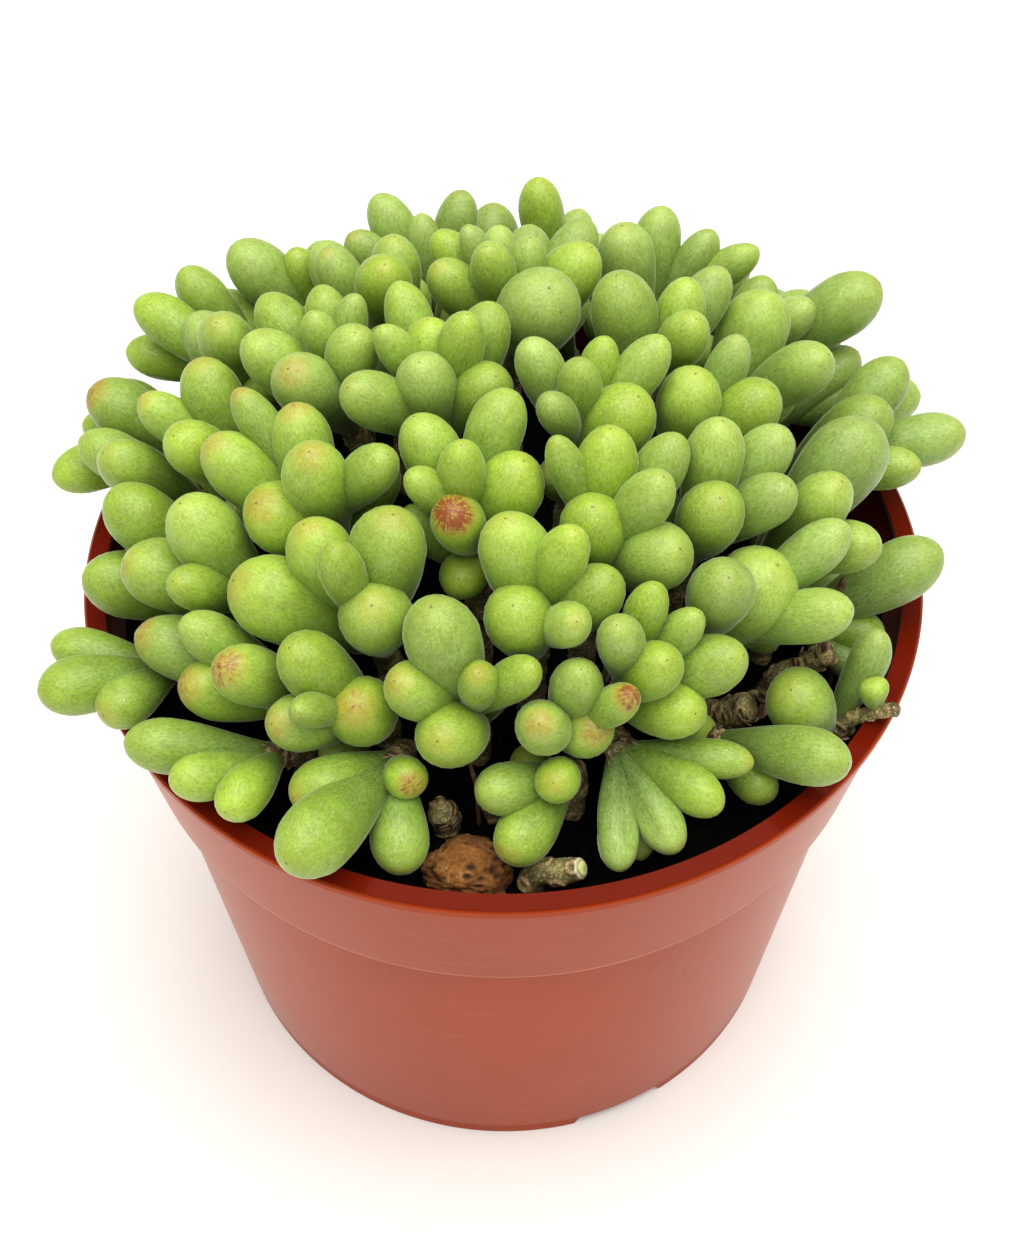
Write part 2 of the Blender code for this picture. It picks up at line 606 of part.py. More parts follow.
def make_pot(parts, tools, plastic):
    """The pot: lip, band, tapering wall, raised base and foot ring, with notches and drain holes."""
    band_foot = POT_HEIGHT - BAND_HEIGHT
    lip_foot = POT_HEIGHT - LIP_THICKNESS
    floor = BASE_HEIGHT + BASE_THICKNESS
    profile = (
        (RIM_RADIUS, POT_HEIGHT - LIP_ROUNDING),
        (RIM_RADIUS, lip_foot),
        (BAND_TOP_RADIUS, lip_foot - CORNER),
        (BAND_FOOT_RADIUS, band_foot + CORNER),
        (BAND_FOOT_RADIUS - BAND_STEP, band_foot - CORNER),
        (FOOT_RADIUS, BASE_HEIGHT + CORNER),
        (FOOT_RADIUS - FOOT_RING_STEP, BASE_HEIGHT),
        (FOOT_RADIUS - FOOT_RING_STEP, 0.0),
        (FOOT_RADIUS - FOOT_RING_STEP - FOOT_RING_WIDTH, 0.0),
        (FOOT_RADIUS - FOOT_RING_STEP - FOOT_RING_WIDTH, BASE_HEIGHT),
        (0.0, BASE_HEIGHT),
        (0.0, floor),
        (inner_radius(floor), floor),
        (inner_radius(band_foot), band_foot),
        (inner_radius(lip_foot - LIP_FILLET), lip_foot - LIP_FILLET),
        (RIM_RADIUS - LIP_WIDTH, lip_foot),
        (RIM_RADIUS - LIP_WIDTH, POT_HEIGHT),
        (RIM_RADIUS - LIP_ROUNDING, POT_HEIGHT),
    )
    pot = turned("pot", profile, POT_SIDES, parts, plastic)
    for k, bearing in enumerate(NOTCH_BEARINGS):
        make_notch(f"notch_{k + 1}", math.radians(bearing - 90), tools)
    for k in range(DRAINS):
        angle = math.tau * (k + 0.5) / DRAINS
        spot = (DRAIN_CIRCLE * math.cos(angle), DRAIN_CIRCLE * math.sin(angle), floor - 2 * BASE_THICKNESS)
        rod(f"drain_{k + 1}", spot, 3 * BASE_THICKNESS, DRAIN_RADIUS, DRAIN_SIDES, tools)
    cut(pot, tools)
    return pot


def soil_height(x, y):
    """Low bumps and hollows in the soil, as the mean of three waves."""
    waves = [math.sin(across * x + along * y + phase) for across, along, phase in SOIL_WAVES]
    return SOIL_TOP + SOIL_BUMP * sum(waves) / len(waves)


def make_soil(parts, tools, soil):
    """The soil: the pot's bore filled to below the lip, with a bumpy top."""
    floor = BASE_HEIGHT + BASE_THICKNESS + SOIL_GAP
    band_foot = POT_HEIGHT - BAND_HEIGHT
    profile = [(0.0, SOIL_TOP)] + [(radius, SOIL_TOP) for radius in reversed(SOIL_RINGS)]
    for height in (SOIL_TOP, band_foot, floor):
        profile.append((inner_radius(height) - SOIL_GAP, height))
    profile.append((0.0, floor))
    obj = turned("soil", profile, SOIL_SIDES, parts, soil)
    obj.data = evaluated_mesh(obj)
    obj.modifiers.clear()
    for vert in obj.data.vertices:
        x, y, z = vert.co / MM
        if z > SOIL_TOP - 0.1:
            vert.co.z = soil_height(x, y) * MM
    cut(obj, tools)
    return obj


def make_stone(parts, tools, lava):
    """A lava pebble: a round lump pushed in and out by waves, and its bed in the soil."""
    mesh = bpy.data.meshes.new("stone")
    bm = bmesh.new()
    bmesh.ops.create_icosphere(bm, subdivisions=2, radius=1.0)
    for vert in bm.verts:
        lump = sum(math.sin(waves * at + phase) for at, (waves, phase) in zip(vert.co, STONE_WAVES))
        vert.co *= 1 + STONE_ROUGHNESS * lump / 2
    bmesh.ops.scale(bm, vec=Vector(STONE_REACH) * MM, verts=bm.verts)
    bm.to_mesh(mesh)
    bm.free()
    stone = new_object("stone", mesh, parts, lava)
    stone.location = place(STONE_MIDDLE)
    bed = cutter(new_object("stone_bed", mesh.copy(), tools))
    bed.location = stone.location
    bed.scale = (STONE_BED_SCALE,) * 3
    return stone


def tube(name, path, radii, sides, collection, bark):
    """A closed tube along a path, made as a beveled curve and then turned into a mesh."""
    curve = bpy.data.curves.new(name, "CURVE")
    curve.dimensions = "3D"
    curve.bevel_depth = MM
    curve.bevel_resolution = sides // 2 - 2
    curve.use_fill_caps = True
    spline = curve.splines.new("POLY")
    spline.points.add(len(path) - 1)
    for point, where, radius in zip(spline.points, path, radii):
        point.co = (*place(where), 1.0)
        point.radius = radius
    guide = bpy.data.objects.new(name + "_guide", curve)
    collection.objects.link(guide)
    mesh = evaluated_mesh(guide)
    bpy.data.objects.remove(guide, do_unlink=True)
    bpy.data.curves.remove(curve)
    bm = bmesh.new()
    bm.from_mesh(mesh)
    bmesh.ops.remove_doubles(bm, verts=bm.verts, dist=0.00001)
    bmesh.ops.recalc_face_normals(bm, faces=bm.faces)
    bm.to_mesh(mesh)
    bm.free()
    mesh.name = name
    return new_object(name, mesh, collection, bark)


def leaf(name, root, tip, width, twist, collection, skin):
    """An egg-shaped leaf: a sphere's rings set along the leaf's axis at the profile's radii."""
    mesh = bpy.data.meshes.new(name)
    bm = bmesh.new()
    bmesh.ops.create_uvsphere(bm, u_segments=LEAF_SIDES, v_segments=len(LEAF_RINGS) - 1, radius=1.0)
    length = np.linalg.norm(tip - root)
    for vert in bm.verts:
        ring = round(math.acos(max(-1.0, min(1.0, vert.co.z))) / math.pi * (len(LEAF_RINGS) - 1))
        at = LEAF_RINGS[ring]
        inner = 0 < ring < len(LEAF_RINGS) - 1
        radius = LEAF_FULLNESS * width / 2 * float(leaf_profile(at)) if inner else 0.0
        angle = math.atan2(vert.co.y, vert.co.x)
        vert.co = Vector((radius * math.cos(angle), radius * math.sin(angle), at * length)) * MM
    turn = Vector(tip - root).to_track_quat("Z", "Y").to_matrix().to_4x4() @ Matrix.Rotation(twist, 4, "Z")
    bmesh.ops.transform(bm, matrix=Matrix.Translation(place(root)) @ turn, verts=bm.verts)
    bm.to_mesh(mesh)
    bm.free()
    return new_object(name, mesh, collection, skin)


def keep_largest(bm):
    """Drops every loose scrap and sealed hollow, so that one body is left."""
    left = set(bm.verts)
    groups = []
    while left:
        group = {left.pop()}
        edge = list(group)
        while edge:
            vert = edge.pop()
            for link in vert.link_edges:
                other = link.other_vert(vert)
                if other in left:
                    left.remove(other)
                    group.add(other)
                    edge.append(other)
        groups.append(group)
    largest = max(groups, key=len)
    loose = [vert for vert in bm.verts if vert not in largest]
    bmesh.ops.delete(bm, geom=loose, context="VERTS")


def is_closed(mesh):
    """Whether the mesh's largest body is closed, with everything else dropped from it."""
    if not mesh.vertices:
        return False
    bm = bmesh.new()
    bm.from_mesh(mesh)
    keep_largest(bm)
    closed = all(edge.is_manifold for edge in bm.edges)
    bm.to_mesh(mesh)
    bm.free()
    return closed


def fuse(stem, leaves):
    """Joins a stem and its leaves into one body with one Boolean, and thins the mesh at the seams."""
    for solver in ("EXACT", "MANIFOLD"):
        boolean = stem.modifiers.new("Fuse", "BOOLEAN")
        boolean.operation = "UNION"
        boolean.operand_type = "COLLECTION"
        boolean.collection = leaves
        boolean.solver = solver
        joined = evaluated_mesh(stem)
        stem.modifiers.remove(boolean)
        if is_closed(joined):
            break
    stem.data = joined
    thinned = stem.modifiers.new("Thin", "DECIMATE")
    thinned.ratio = SEAM_THINNING
    stem.data = evaluated_mesh(stem)
    stem.modifiers.remove(thinned)
    for obj in list(leaves.objects):
        bpy.data.objects.remove(obj, do_unlink=True)
    bpy.data.collections.remove(leaves)


def smooth(obj, angle):
    obj.data.shade_smooth()
    obj.data.set_sharp_from_angle(angle=math.radians(angle))


def make_leafy_stems(parts, holes, bark, skin):
    """One body for each shoot, and the hole that its foot stands in."""
    tips, roots, widths, shoot, paths, bare = grow()
    for k, path in enumerate(paths):
        name = f"leafy_stem_{k + 1:02d}"
        radii = np.linspace(STEM_RADIUS, STEM_TAPER * STEM_RADIUS, len(path))
        stem = tube(name, path, radii, STEM_SIDES, parts, bark)
        leaves = new_collection(name + "_leaves")
        for n in np.flatnonzero(shoot == k):
            leaf(f"{name}_leaf_{n}", roots[n], tips[n], widths[n], n * GOLDEN_ANGLE, leaves, skin)
        fuse(stem, leaves)
        smooth(stem, SHARP_ANGLE)
        rod(f"hole_{k + 1:02d}", (*path[0][:2], SOIL_TOP - HOLE_DEPTH), 2 * HOLE_DEPTH,
            STEM_RADIUS + HOLE_GAP, HOLE_SIDES, holes)
    for k, (path, (_, _, radius)) in enumerate(zip(bare, BARE_STEMS)):
        swelling, waves = BARE_STEM_SWELLING
        radii = radius * (1 + swelling * np.sin(waves * np.arange(len(path))))
        radii[:2] = radius
        stem = tube(f"bare_stem_{k + 1}", path, radii, BARE_STEM_SIDES, parts, bark)
        smooth(stem, SHARP_ANGLE)
        rod(f"bare_hole_{k + 1}", (*path[0][:2], SOIL_TOP - HOLE_DEPTH), 2 * HOLE_DEPTH,
            radius + HOLE_GAP, HOLE_SIDES, holes)


def main():
    clear_scene()
    parts = new_collection("potted_dragon_egg_succulent")
    pot_tools = new_collection("pot_cutters")
    soil_tools = new_collection("soil_cutters")
    plastic = material("brick_red_polypropylene", (0.42, 0.085, 0.055), 0.42)
    soil = material("potting_soil", (0.016, 0.012, 0.010), 0.95)
    lava = material("lava_stone", (0.36, 0.13, 0.04), 0.9)
    bark = material("old_stem", (0.19, 0.16, 0.10), 0.8)
    skin = material("egg_leaf", (0.28, 0.46, 0.09), 0.45)
    smooth(make_pot(parts, pot_tools, plastic), 30)
    make_stone(parts, soil_tools, lava)
    make_leafy_stems(parts, soil_tools, bark, skin)
    make_soil(parts, soil_tools, soil)


main()
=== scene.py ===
# %% [markdown]
# # A potted dragon egg succulent
#
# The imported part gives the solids: a pot, soil, a pebble and one faceted body for each leafy stem.
# This lesson dresses it. Every leaf, stem, grain of soil and the pot's skin is made again as a fine
# surface in the same place, and each finish is a procedural material.
#
# Lengths are worked out in millimetres round the pot's axis, as the part's own source does, and one
# function turns them into metres when a mesh is made.

# %% Load the part
import math

import bmesh
import bpy
import numpy as np
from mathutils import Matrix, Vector
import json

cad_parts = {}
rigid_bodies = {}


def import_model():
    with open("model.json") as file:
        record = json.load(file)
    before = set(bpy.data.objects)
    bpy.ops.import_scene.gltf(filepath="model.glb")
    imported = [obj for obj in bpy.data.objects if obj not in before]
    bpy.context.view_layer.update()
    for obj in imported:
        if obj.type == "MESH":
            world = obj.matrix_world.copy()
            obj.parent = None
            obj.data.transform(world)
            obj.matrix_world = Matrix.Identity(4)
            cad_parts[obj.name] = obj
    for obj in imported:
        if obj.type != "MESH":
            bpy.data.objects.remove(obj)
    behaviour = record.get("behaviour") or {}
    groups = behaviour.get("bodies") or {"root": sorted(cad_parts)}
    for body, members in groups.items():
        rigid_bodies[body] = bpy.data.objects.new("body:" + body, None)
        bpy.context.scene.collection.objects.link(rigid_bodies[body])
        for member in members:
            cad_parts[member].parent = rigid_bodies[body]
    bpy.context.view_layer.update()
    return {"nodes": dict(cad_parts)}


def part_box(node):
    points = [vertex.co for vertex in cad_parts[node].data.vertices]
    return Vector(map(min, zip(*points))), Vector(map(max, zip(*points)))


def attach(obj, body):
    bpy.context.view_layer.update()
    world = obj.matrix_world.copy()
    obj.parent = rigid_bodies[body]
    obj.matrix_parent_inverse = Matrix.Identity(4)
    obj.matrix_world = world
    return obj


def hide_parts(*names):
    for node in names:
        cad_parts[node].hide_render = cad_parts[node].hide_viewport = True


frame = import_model()
MM = 0.001
pot_low, pot_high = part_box("pot")
AXIS = np.array([(pot_low[0] + pot_high[0]) / 2, (pot_low[1] + pot_high[1]) / 2, 0.0])
leafy_nodes = sorted(name for name in frame["nodes"] if name.startswith("leafy_stem_"))
bare_nodes = sorted(name for name in frame["nodes"] if name.startswith("bare_stem_"))
print("leafy stems", len(leafy_nodes), "bare stems", len(bare_nodes), "pot axis", AXIS)

# %% [markdown]
# ## Camera
#
# The photograph looks down at about fifty degrees from close by, so the pot's foot looks much
# smaller than its rim. The camera's place and lens were found by matching the rim's ellipse, the
# foot's curve and the top of the plant. The lens is in millimetres on a 36 mm sensor, which Blender
# lays along the picture's long side.

# %% Camera
CAMERA_PLACE = (-1.0, -234.0, 375.0)
CAMERA_AIM = (1.5, 0.0, 91.65)
NEAREST_SEEN = 10.0
SENSOR = 36.0
FOCAL_PIXELS = 1950.0
PICTURE_HEIGHT = 1255.0


def to_metres(points):
    """Points round the pot's axis in millimetres, as world points in metres."""
    return np.asarray(points, float) * MM + AXIS


def link(name, data, place=(0.0, 0.0, 0.0)):
    """Puts an object in the scene, at a place in metres."""
    made = bpy.data.objects.new(name, data)
    bpy.context.scene.collection.objects.link(made)
    made.location = place
    return made


def face(thing, aim):
    """Turns a camera or a lamp to face a point in metres."""
    thing.rotation_euler = (Vector(aim) - thing.location).to_track_quat("-Z", "Y").to_euler()


camera_data = bpy.data.cameras.new("camera")
camera_data.sensor_width = SENSOR
camera_data.lens = FOCAL_PIXELS / PICTURE_HEIGHT * SENSOR
camera_data.clip_start = NEAREST_SEEN * MM
camera = link("camera", camera_data, to_metres(CAMERA_PLACE))
face(camera, to_metres(CAMERA_AIM))
bpy.context.scene.camera = camera
print("lens", round(camera_data.lens, 2), "mm")

# %% [markdown]
# ## Nodes and colours
#
# Every material below is a small node tree. One helper adds a node, sets its properties, and fills
# or links its sockets, and short functions name the nodes that come back in every tree. Colours are
# written as the sRGB hex values that an eye would pick, and one function turns them into the linear
# values that the renderer works with. A pattern is given by its real size.

# %% Colours, nodes and sockets
def linear(code):
    """An sRGB hex colour as linear red, green and blue, and an alpha of one."""
    parts = np.array([int(code[k:k + 2], 16) for k in (1, 3, 5)]) / 255
    values = np.where(parts <= 0.04045, parts / 12.92, ((parts + 0.055) / 1.055) ** 2.4)
    return (*values, 1.0)


def feed(tree, node, inputs):
    """Fills a node's sockets, each with another node's output, a hex colour or a plain value."""
    for name, value in inputs.items():
        if isinstance(value, bpy.types.NodeSocket):
            tree.links.new(value, node.inputs[name])
        else:
            node.inputs[name].default_value = linear(value) if isinstance(value, str) else value


def add(tree, kind, inputs=(), **settings):
    """Adds a shader node of a kind, with its properties set and its sockets filled."""
    made = tree.nodes.new("ShaderNode" + kind)
    for name, value in settings.items():
        setattr(made, name, value)
    feed(tree, made, dict(inputs))
    return made


def blank_material(name):
    """A material with its node tree and its shader, ready for nodes."""
    made = bpy.data.materials.new(name)
    made.use_nodes = True
    return made, made.node_tree, made.node_tree.nodes["Principled BSDF"]


print("mid grey in linear light", round(linear("#808080")[0], 3))

# %% Nodes that give a pattern
def attribute(tree, name, output="Fac"):
    """What the mesh holds under this name for each of its points."""
    return add(tree, "Attribute", attribute_name=name).outputs[output]


def noise(tree, place, size, detail, roughness=0.5):
    """Cloudy noise, its clouds about this size, which is in metres or millimetres as the place is."""
    sockets = {"Vector": place, "Scale": 1 / size, "Detail": detail, "Roughness": roughness}
    return add(tree, "TexNoise", sockets).outputs


def cells(tree, place, size, feature="F1"):
    """How far each place is from the nearest of many scattered points, or from a cell's edge."""
    made = add(tree, "TexVoronoi", {"Vector": place, "Scale": 1 / size}, feature=feature)
    return made.outputs["Distance"]


def rescale(tree, value, low, high, start=0.0, end=1.0, **settings):
    """Takes a value from the range of low to high to that of start to end, and stays inside it."""
    sockets = {"Value": value, "From Min": low, "From Max": high, "To Min": start, "To Max": end}
    return add(tree, "MapRange", sockets, **settings).outputs["Result"]


def compute(tree, operation, *values, **settings):
    """One step of arithmetic on values or outputs."""
    return add(tree, "Math", dict(enumerate(values)), operation=operation, **settings).outputs[0]


# %% Nodes that give a colour or a relief
MIX_FACTOR, MIX_A, MIX_B, MIX_RESULT = 0, 6, 7, 2


def ramp(tree, value, stops):
    """Colours picked by a value, through stops that are a place and a hex colour each."""
    made = add(tree, "ValToRGB", {"Fac": value})
    points = made.color_ramp.elements
    for k, (at, code) in enumerate(stops):
        if k >= len(points):
            points.new(at)
        points[k].position = at
        points[k].color = linear(code)
    return made.outputs["Color"]


def mix(tree, amount, under, over, blend="MIX"):
    """Lays one colour over another by an amount."""
    sockets = {MIX_FACTOR: amount, MIX_A: under, MIX_B: over}
    return add(tree, "Mix", sockets, data_type="RGBA", blend_type=blend).outputs[MIX_RESULT]


def speckled(tree, base, place, unit, specks):
    """A colour with round specks: each kind has a spacing, two radii, a strength and a colour.

    A speck starts to fade at one radius and ends at the other, both parts of the spacing. The
    spacing is in millimetres, and the unit is what the place counts for one.
    """
    for spacing, inner, outer, strength, code in specks:
        far = cells(tree, place, spacing * unit)
        base = mix(tree, rescale(tree, far, inner, outer, strength, 0.0), base, code)
    return base


def bump(tree, height, strength, depth):
    """The normal of a surface with this height, whose full depth is in millimetres."""
    sockets = {"Height": height, "Strength": strength, "Distance": depth * MM}
    return add(tree, "Bump", sockets).outputs["Normal"]


# %% A dull, mottled material
def mottled(name, clouds, stops, relief, surface, marks=()):
    """A dull material with cloudy tints and relief, tinted again where its mesh is marked.

    Clouds are what noise takes, and relief is a strength and a depth in millimetres. A mark is an
    attribute, its range, how much it covers at most, and its colour.
    """
    made, tree, shader = blank_material(name)
    cloud = noise(tree, add(tree, "TexCoord").outputs["Object"], *clouds)["Fac"]
    tint = ramp(tree, cloud, stops)
    for key, low, high, most, code in marks:
        tint = mix(tree, rescale(tree, attribute(tree, key), low, high, 0.0, most), tint, code)
    feed(tree, shader, {"Base Color": tint, "Normal": bump(tree, cloud, *relief), **surface})
    return made


# %% [markdown]
# ## Floor and light
#
# The photograph is high-key: a white ground, a broad soft light from above, and only a faint shadow
# round the foot. A large area light overhead gives the soft top light. A wide, weak one in front
# opens up the pot's face, and a pale world fills what is left.

# %% Floor and light
FLOOR_SIZE = 6.0
FLOOR_DROP = 0.0002
GROUND = {"Base Color": "#f6f5f2", "Roughness": 0.9}
SKY = {"Color": "#ffffff", "Strength": 0.54}
# Lights: name, place, the point they face, and size, all in metres, then watts and colour
LIGHTS = (
    ("overhead", (0.05, -0.05, 1.00), (0, 0, 0.1), 1.1, 16.5, "#fffbf4"),
    ("front_fill", (-0.35, -0.95, 0.55), (0, 0, 0.08), 0.9, 1.0, "#fbfcff"),
)

half = FLOOR_SIZE / 2
corners = [(-half, -half, 0), (half, -half, 0), (half, half, 0), (-half, half, 0)]
floor_mesh = bpy.data.meshes.new("floor")
floor_mesh.from_pydata(corners, [], [(0, 1, 2, 3)])
paper, paper_tree, paper_shader = blank_material("white_paper_ground")
feed(paper_tree, paper_shader, GROUND)
floor_mesh.materials.append(paper)
floor = link("floor", floor_mesh, (0, 0, -FLOOR_DROP))

for name, place, aim, size, watts, colour in LIGHTS:
    lamp = bpy.data.lights.new(name, "AREA")
    lamp.shape = "SQUARE"
    lamp.size = size
    lamp.energy = watts
    lamp.color = linear(colour)[:3]
    face(link(name, lamp, place), aim)
world = bpy.data.worlds.new("studio")
world.use_nodes = True
feed(world.node_tree, world.node_tree.nodes["Background"], SKY)
bpy.context.scene.world = world
bpy.context.scene.view_settings.view_transform = "Standard"
print("lights", len(LIGHTS))

# %% [markdown]
# ## Where the canopy lies
#
# The crown is half an egg: wide as the pot, and a hand's breadth high. A leaf tip is placed by how
# far it leans to the right and to the front of upright, which can be read off a photograph, and one
# function turns the two leans into a point on the crown. The side that the photograph hides gets
# tips at random, from a seeded draw, spaced as the visible ones are.

# %% Canopy, stem and spacing values
SOIL_TOP = 100.0
HOLE_DEPTH = 7.0
POT_HEIGHT = 112.5
RIM_RADIUS = 75.0
LIP_WIDTH = 3.6

# Canopy: half an egg, its middle, and how far it reaches along x, y and z
CANOPY_MIDDLE = np.array((0.0, 7.0, 114.5))
CANOPY_REACH = np.array((78.0, 66.0, 47.0))
TIP_SPACING = 0.52
HIDDEN_TIPS = 1500
HIDDEN_LOWEST = 0.06
HIDDEN_REACH = (0.95, 1.05)
HIDDEN_LEAF_WIDTHS = (8.0, 11.5)
OPEN_SIDE = np.array((0.0, -0.64, 0.77))
OPEN_LIMIT = 0.10
GOLDEN_ANGLE = math.pi * (3 - math.sqrt(5))
SEED = 27

# Shoots: how many share the canopy, how upright they grow along x, y and z, and their heads and feet
SHOOT_MIDDLES = 42
GATHERING_TURNS = 30
UPRIGHT_GROWTH = np.array((0.9, 0.3, 1.0))
HEAD_DEPTH = 18.5
HEAD_FLOOR = 117.0
FOOT_SHARE = 0.84
FOOT_SPACING = 7.4
FOOT_LIMIT = 63.0
SPREADING_TURNS = 30
SPREADING_STEP = 0.4

# Stems
STEM_RADIUS = 2.6
STEM_TAPER = 0.85
STRAIGHT_ABOVE_SOIL = 1.6
FOOT_CLEARANCE = 0.5
BEND_SHARE = 0.45
STEM_POINTS = 5

# %% Leaf values
BELLY = 0.72
NECK = 0.38
SWELL_POWER = 1.5
LEAF_LENGTH_BASE = 12.0
LEAF_LENGTH_SHARE = 1.35
LEAF_LENGTHS = (17.0, 30.0)
ROOT_DEPTH = 13.0
LOW_ROOT_DEPTH = 4.0
ROOT_SHARE = 0.6
LEAF_GAP = 0.5
LEAF_PRESS = 0.84
BALL_FULLNESS = 1.04
SHARED_ROOT = 0.6
POT_CLEARANCE = 1.2
SOIL_CLEARANCE = 1.6
MEETING_RANGE = 24.0
SETTLING_TURNS = 180
LARGEST_MOVE = 1.2
MOVE_SHARE = 0.6
DRAWN_TURNS = 0.8
DRAWN_BACK = 0.04
SLIMMING_TURNS = 14
MOST_SLIMMING = 0.8
INNER_TIPS = 2400
INNER_LOWEST = -0.1
INNER_LEAF_WIDTHS = (6.0, 9.0)
INNER_LEAF_LENGTHS = (11.0, 24.0)
INNER_REACH = (0.70, 0.92)
MOST_LEAVES = 262
NOTHING = 1e-9

# %% The leaf tips and low shoots, as read from the picture
# Leaf tips of the canopy: lean to the right and to the front in degrees, the leaf's width, and how
# far out the tip stands, if it isn't on the canopy's surface, which is 1
CANOPY_TIPS = (
    (-44.5, -4, 10.5), (-49, -2, 8), (-39.5, -13, 10), (-31.5, -13.5, 9.5), (-32, -5, 10),
    (-24.5, -13.5, 8), (-25, -29, 8), (-25, 2, 11), (-20, 0, 9.5), (-18.5, -8, 6), (-23, -6, 6.5),
    (-14.5, -27, 9.5), (-15, -17, 10), (-8.3, -27, 8), (-6, -19, 9), (-12, -8.5, 8), (-3.5, -23.5, 6),
    (-1.5, -16.5, 8), (-2.5, -3, 9), (-4.3, 1.5, 8), (-10.3, 0, 9.5), (-14, -1, 6.5), (-9.5, 6.5, 10),
    (-2.5, 6.5, 10), (0.8, 13, 9.5), (-16, 10, 9.5), (-10.8, 17.5, 10), (-44.5, 11, 10), (-33, 12, 7),
    (-28, 13.5, 10), (-35, 19, 11), (-30.5, 21, 12), (-24.5, 22, 11), (-17.5, 23, 8.5),
    (-11.5, 27.5, 6.5), (-41, 24.5, 12), (-27, 34, 11), (-19, 37, 7.5), (-13, 34.5, 12.5), (-6, 32, 9),
    (-3.8, 26, 8), (0.5, 33.5, 11.5), (2.8, 24, 11), (-9, 46.5, 12.5), (0.3, 46, 11.5), (-20, 45, 12),
    (-36.5, 41, 14), (-58.5, 31, 12), (-59.5, 14.5, 11.5), (-61, 7, 10), (-57, 47, 11), (-46, 34, 8),
    (-46, 47.5, 8.5), (-39.5, 53, 10), (-48, 58, 11), (-35, 60, 9.5), (-45, 67, 11), (-27, 51.5, 11),
    (-30.5, 58, 6), (-27, 65, 11.5), (-14, 58.5, 9.5), (-1, 57, 7), (2, 57.5, 7), (-11.5, 68, 11),
    (4, -21.5, 7.5), (9, -20, 10.5), (5, -12.5, 14.5), (10.7, -33, 8.5), (4.5, -31, 9), (0, -25, 7),
    (19, -40, 11), (17, -13.5, 12), (24, -16, 9), (24.5, -5, 8.5), (30, -20, 9), (37, -22, 12.5),
    (48.5, -29, 8), (46, -7.5, 10), (54.5, 4, 14), (25.5, 3.5, 11), (33, 5, 10.5), (28.5, 2.5, 7),
    (18, 6, 8), (14, 3.5, 7), (9.5, 8, 7.5), (2.8, 5.5, 8), (15.5, 9.5, 12), (5.5, 14, 6.5),
    (6.5, 21.5, 6), (11, 24, 10.5), (19.5, 21.5, 8.5), (27, 20, 10), (36.5, 14.5, 9), (29.5, 23.5, 11),
    (35.5, 25, 9), (18.5, 27.5, 9), (12.5, 30.5, 11), (21.5, 34, 11.5), (6.5, 36, 8), (13, 40, 10),
    (40, 37, 14), (45, 40, 9), (32, 42, 11), (48, 22, 10), (46, 29, 8.5), (53, 27, 9), (32, 53, 10),
    (17.5, 61, 6.5), (20, 54.5, 9.5), (24.5, 62, 10.5), (10.5, 59, 8.5), (13.5, 66.5, 9), (6, 64, 9),
    (17, 48, 8), (19, 45, 7), (8, 47, 7.5), (22.5, 50, 6.5), (5, -49, 8.5, 1.1), (-5.5, -48.5, 8, 1.06),
    (-12, -48, 7), (-19, -46.5, 8.5, 1.06), (-22.5, -44, 8), (-27, -38, 9), (-33, -42.5, 7),
    (-39.5, -39.5, 11, 1.08), (-47, -35, 9, 1.1), (-53, -31, 9, 1.1), (-50, -28, 10),
    (-68, -18, 11, 1.05), (-74, -9, 9, 1.02), (26.5, -44.5, 9.5, 1.05), (32, -43, 7.5, 1.04),
    (37, -40, 7, 1.04), (44, -37, 8.5), (56, -29, 11.5, 1.14), (64, -21, 10, 1.06), (67, -10, 11, 0.97),
    (75, -9, 10, 1.1), (74, -1, 8, 0.98), (-82, 30, 12, 0.98),
)

# Shoots that spread low: where the stem stands, where its head is, and the leaf tips and widths
LOW_SHOOTS = (
    ((9, -42), (9, -50, 114), ((1, -66, 109, 9.5), (-4.5, -57, 119, 8.5), (8.5, -54, 125, 7.5))),
    ((20, -38), (19, -48, 117), ((22, -62, 107, 7), (17.5, -66, 110, 7), (35, -58, 118, 8),
                                 (38, -52, 121, 6.5), (28, -66, 112, 8))),
    ((-18, -40), (-19, -50, 116), ((-33, -58, 122, 10), (-17.3, -69, 111, 9.5),
                                   (-34, -71, 120, 12), (-14.5, -56, 121, 7))),
    ((-34, -38), (-40, -47, 115), ((-54.5, -54, 118, 8), (-57, -43.5, 119, 9.5), (-44, -61.5, 118, 8))),
    ((-50, -24), (-59, -30, 117), ((-76.5, -26, 120, 8), (-76, -38, 120, 10), (-66, -41.5, 121, 9))),
    ((46, -14), (54, -16, 112), ((75, -12, 123, 11), (65, -26, 107, 6), (68, -20, 112, 7.5))),
    ((50, -34), (57, -36, 109), ((41, -43, 120, 11.5), (62, -31, 120, 7))),
    ((33, -40), (37, -43, 113), ((55, -52.5, 119, 9.5), (44, -52, 110, 7))),
)

# Old stems with no leaves: where each stands, where it ends, and its radius
BARE_STEMS = (
    ((31, -32), (42, -35.5, 113), 3.0),
    ((4, -62.5), (12.5, -64.5, 109), 2.5),
    ((46, -24), (56, -25, 115), 2.2),
    ((-10, -51), (-11, -53, 109), 2.6),
    ((-2, -48), (-2, -50, 111), 2.6),
)

# %% Points on the canopy
def normalized(vectors):
    """Each of many vectors at length one."""
    return vectors / np.linalg.norm(vectors, axis=-1, keepdims=True)


def distances(points, others):
    """How far each point is from each of the others."""
    return np.linalg.norm(points[:, None] - others, axis=2)


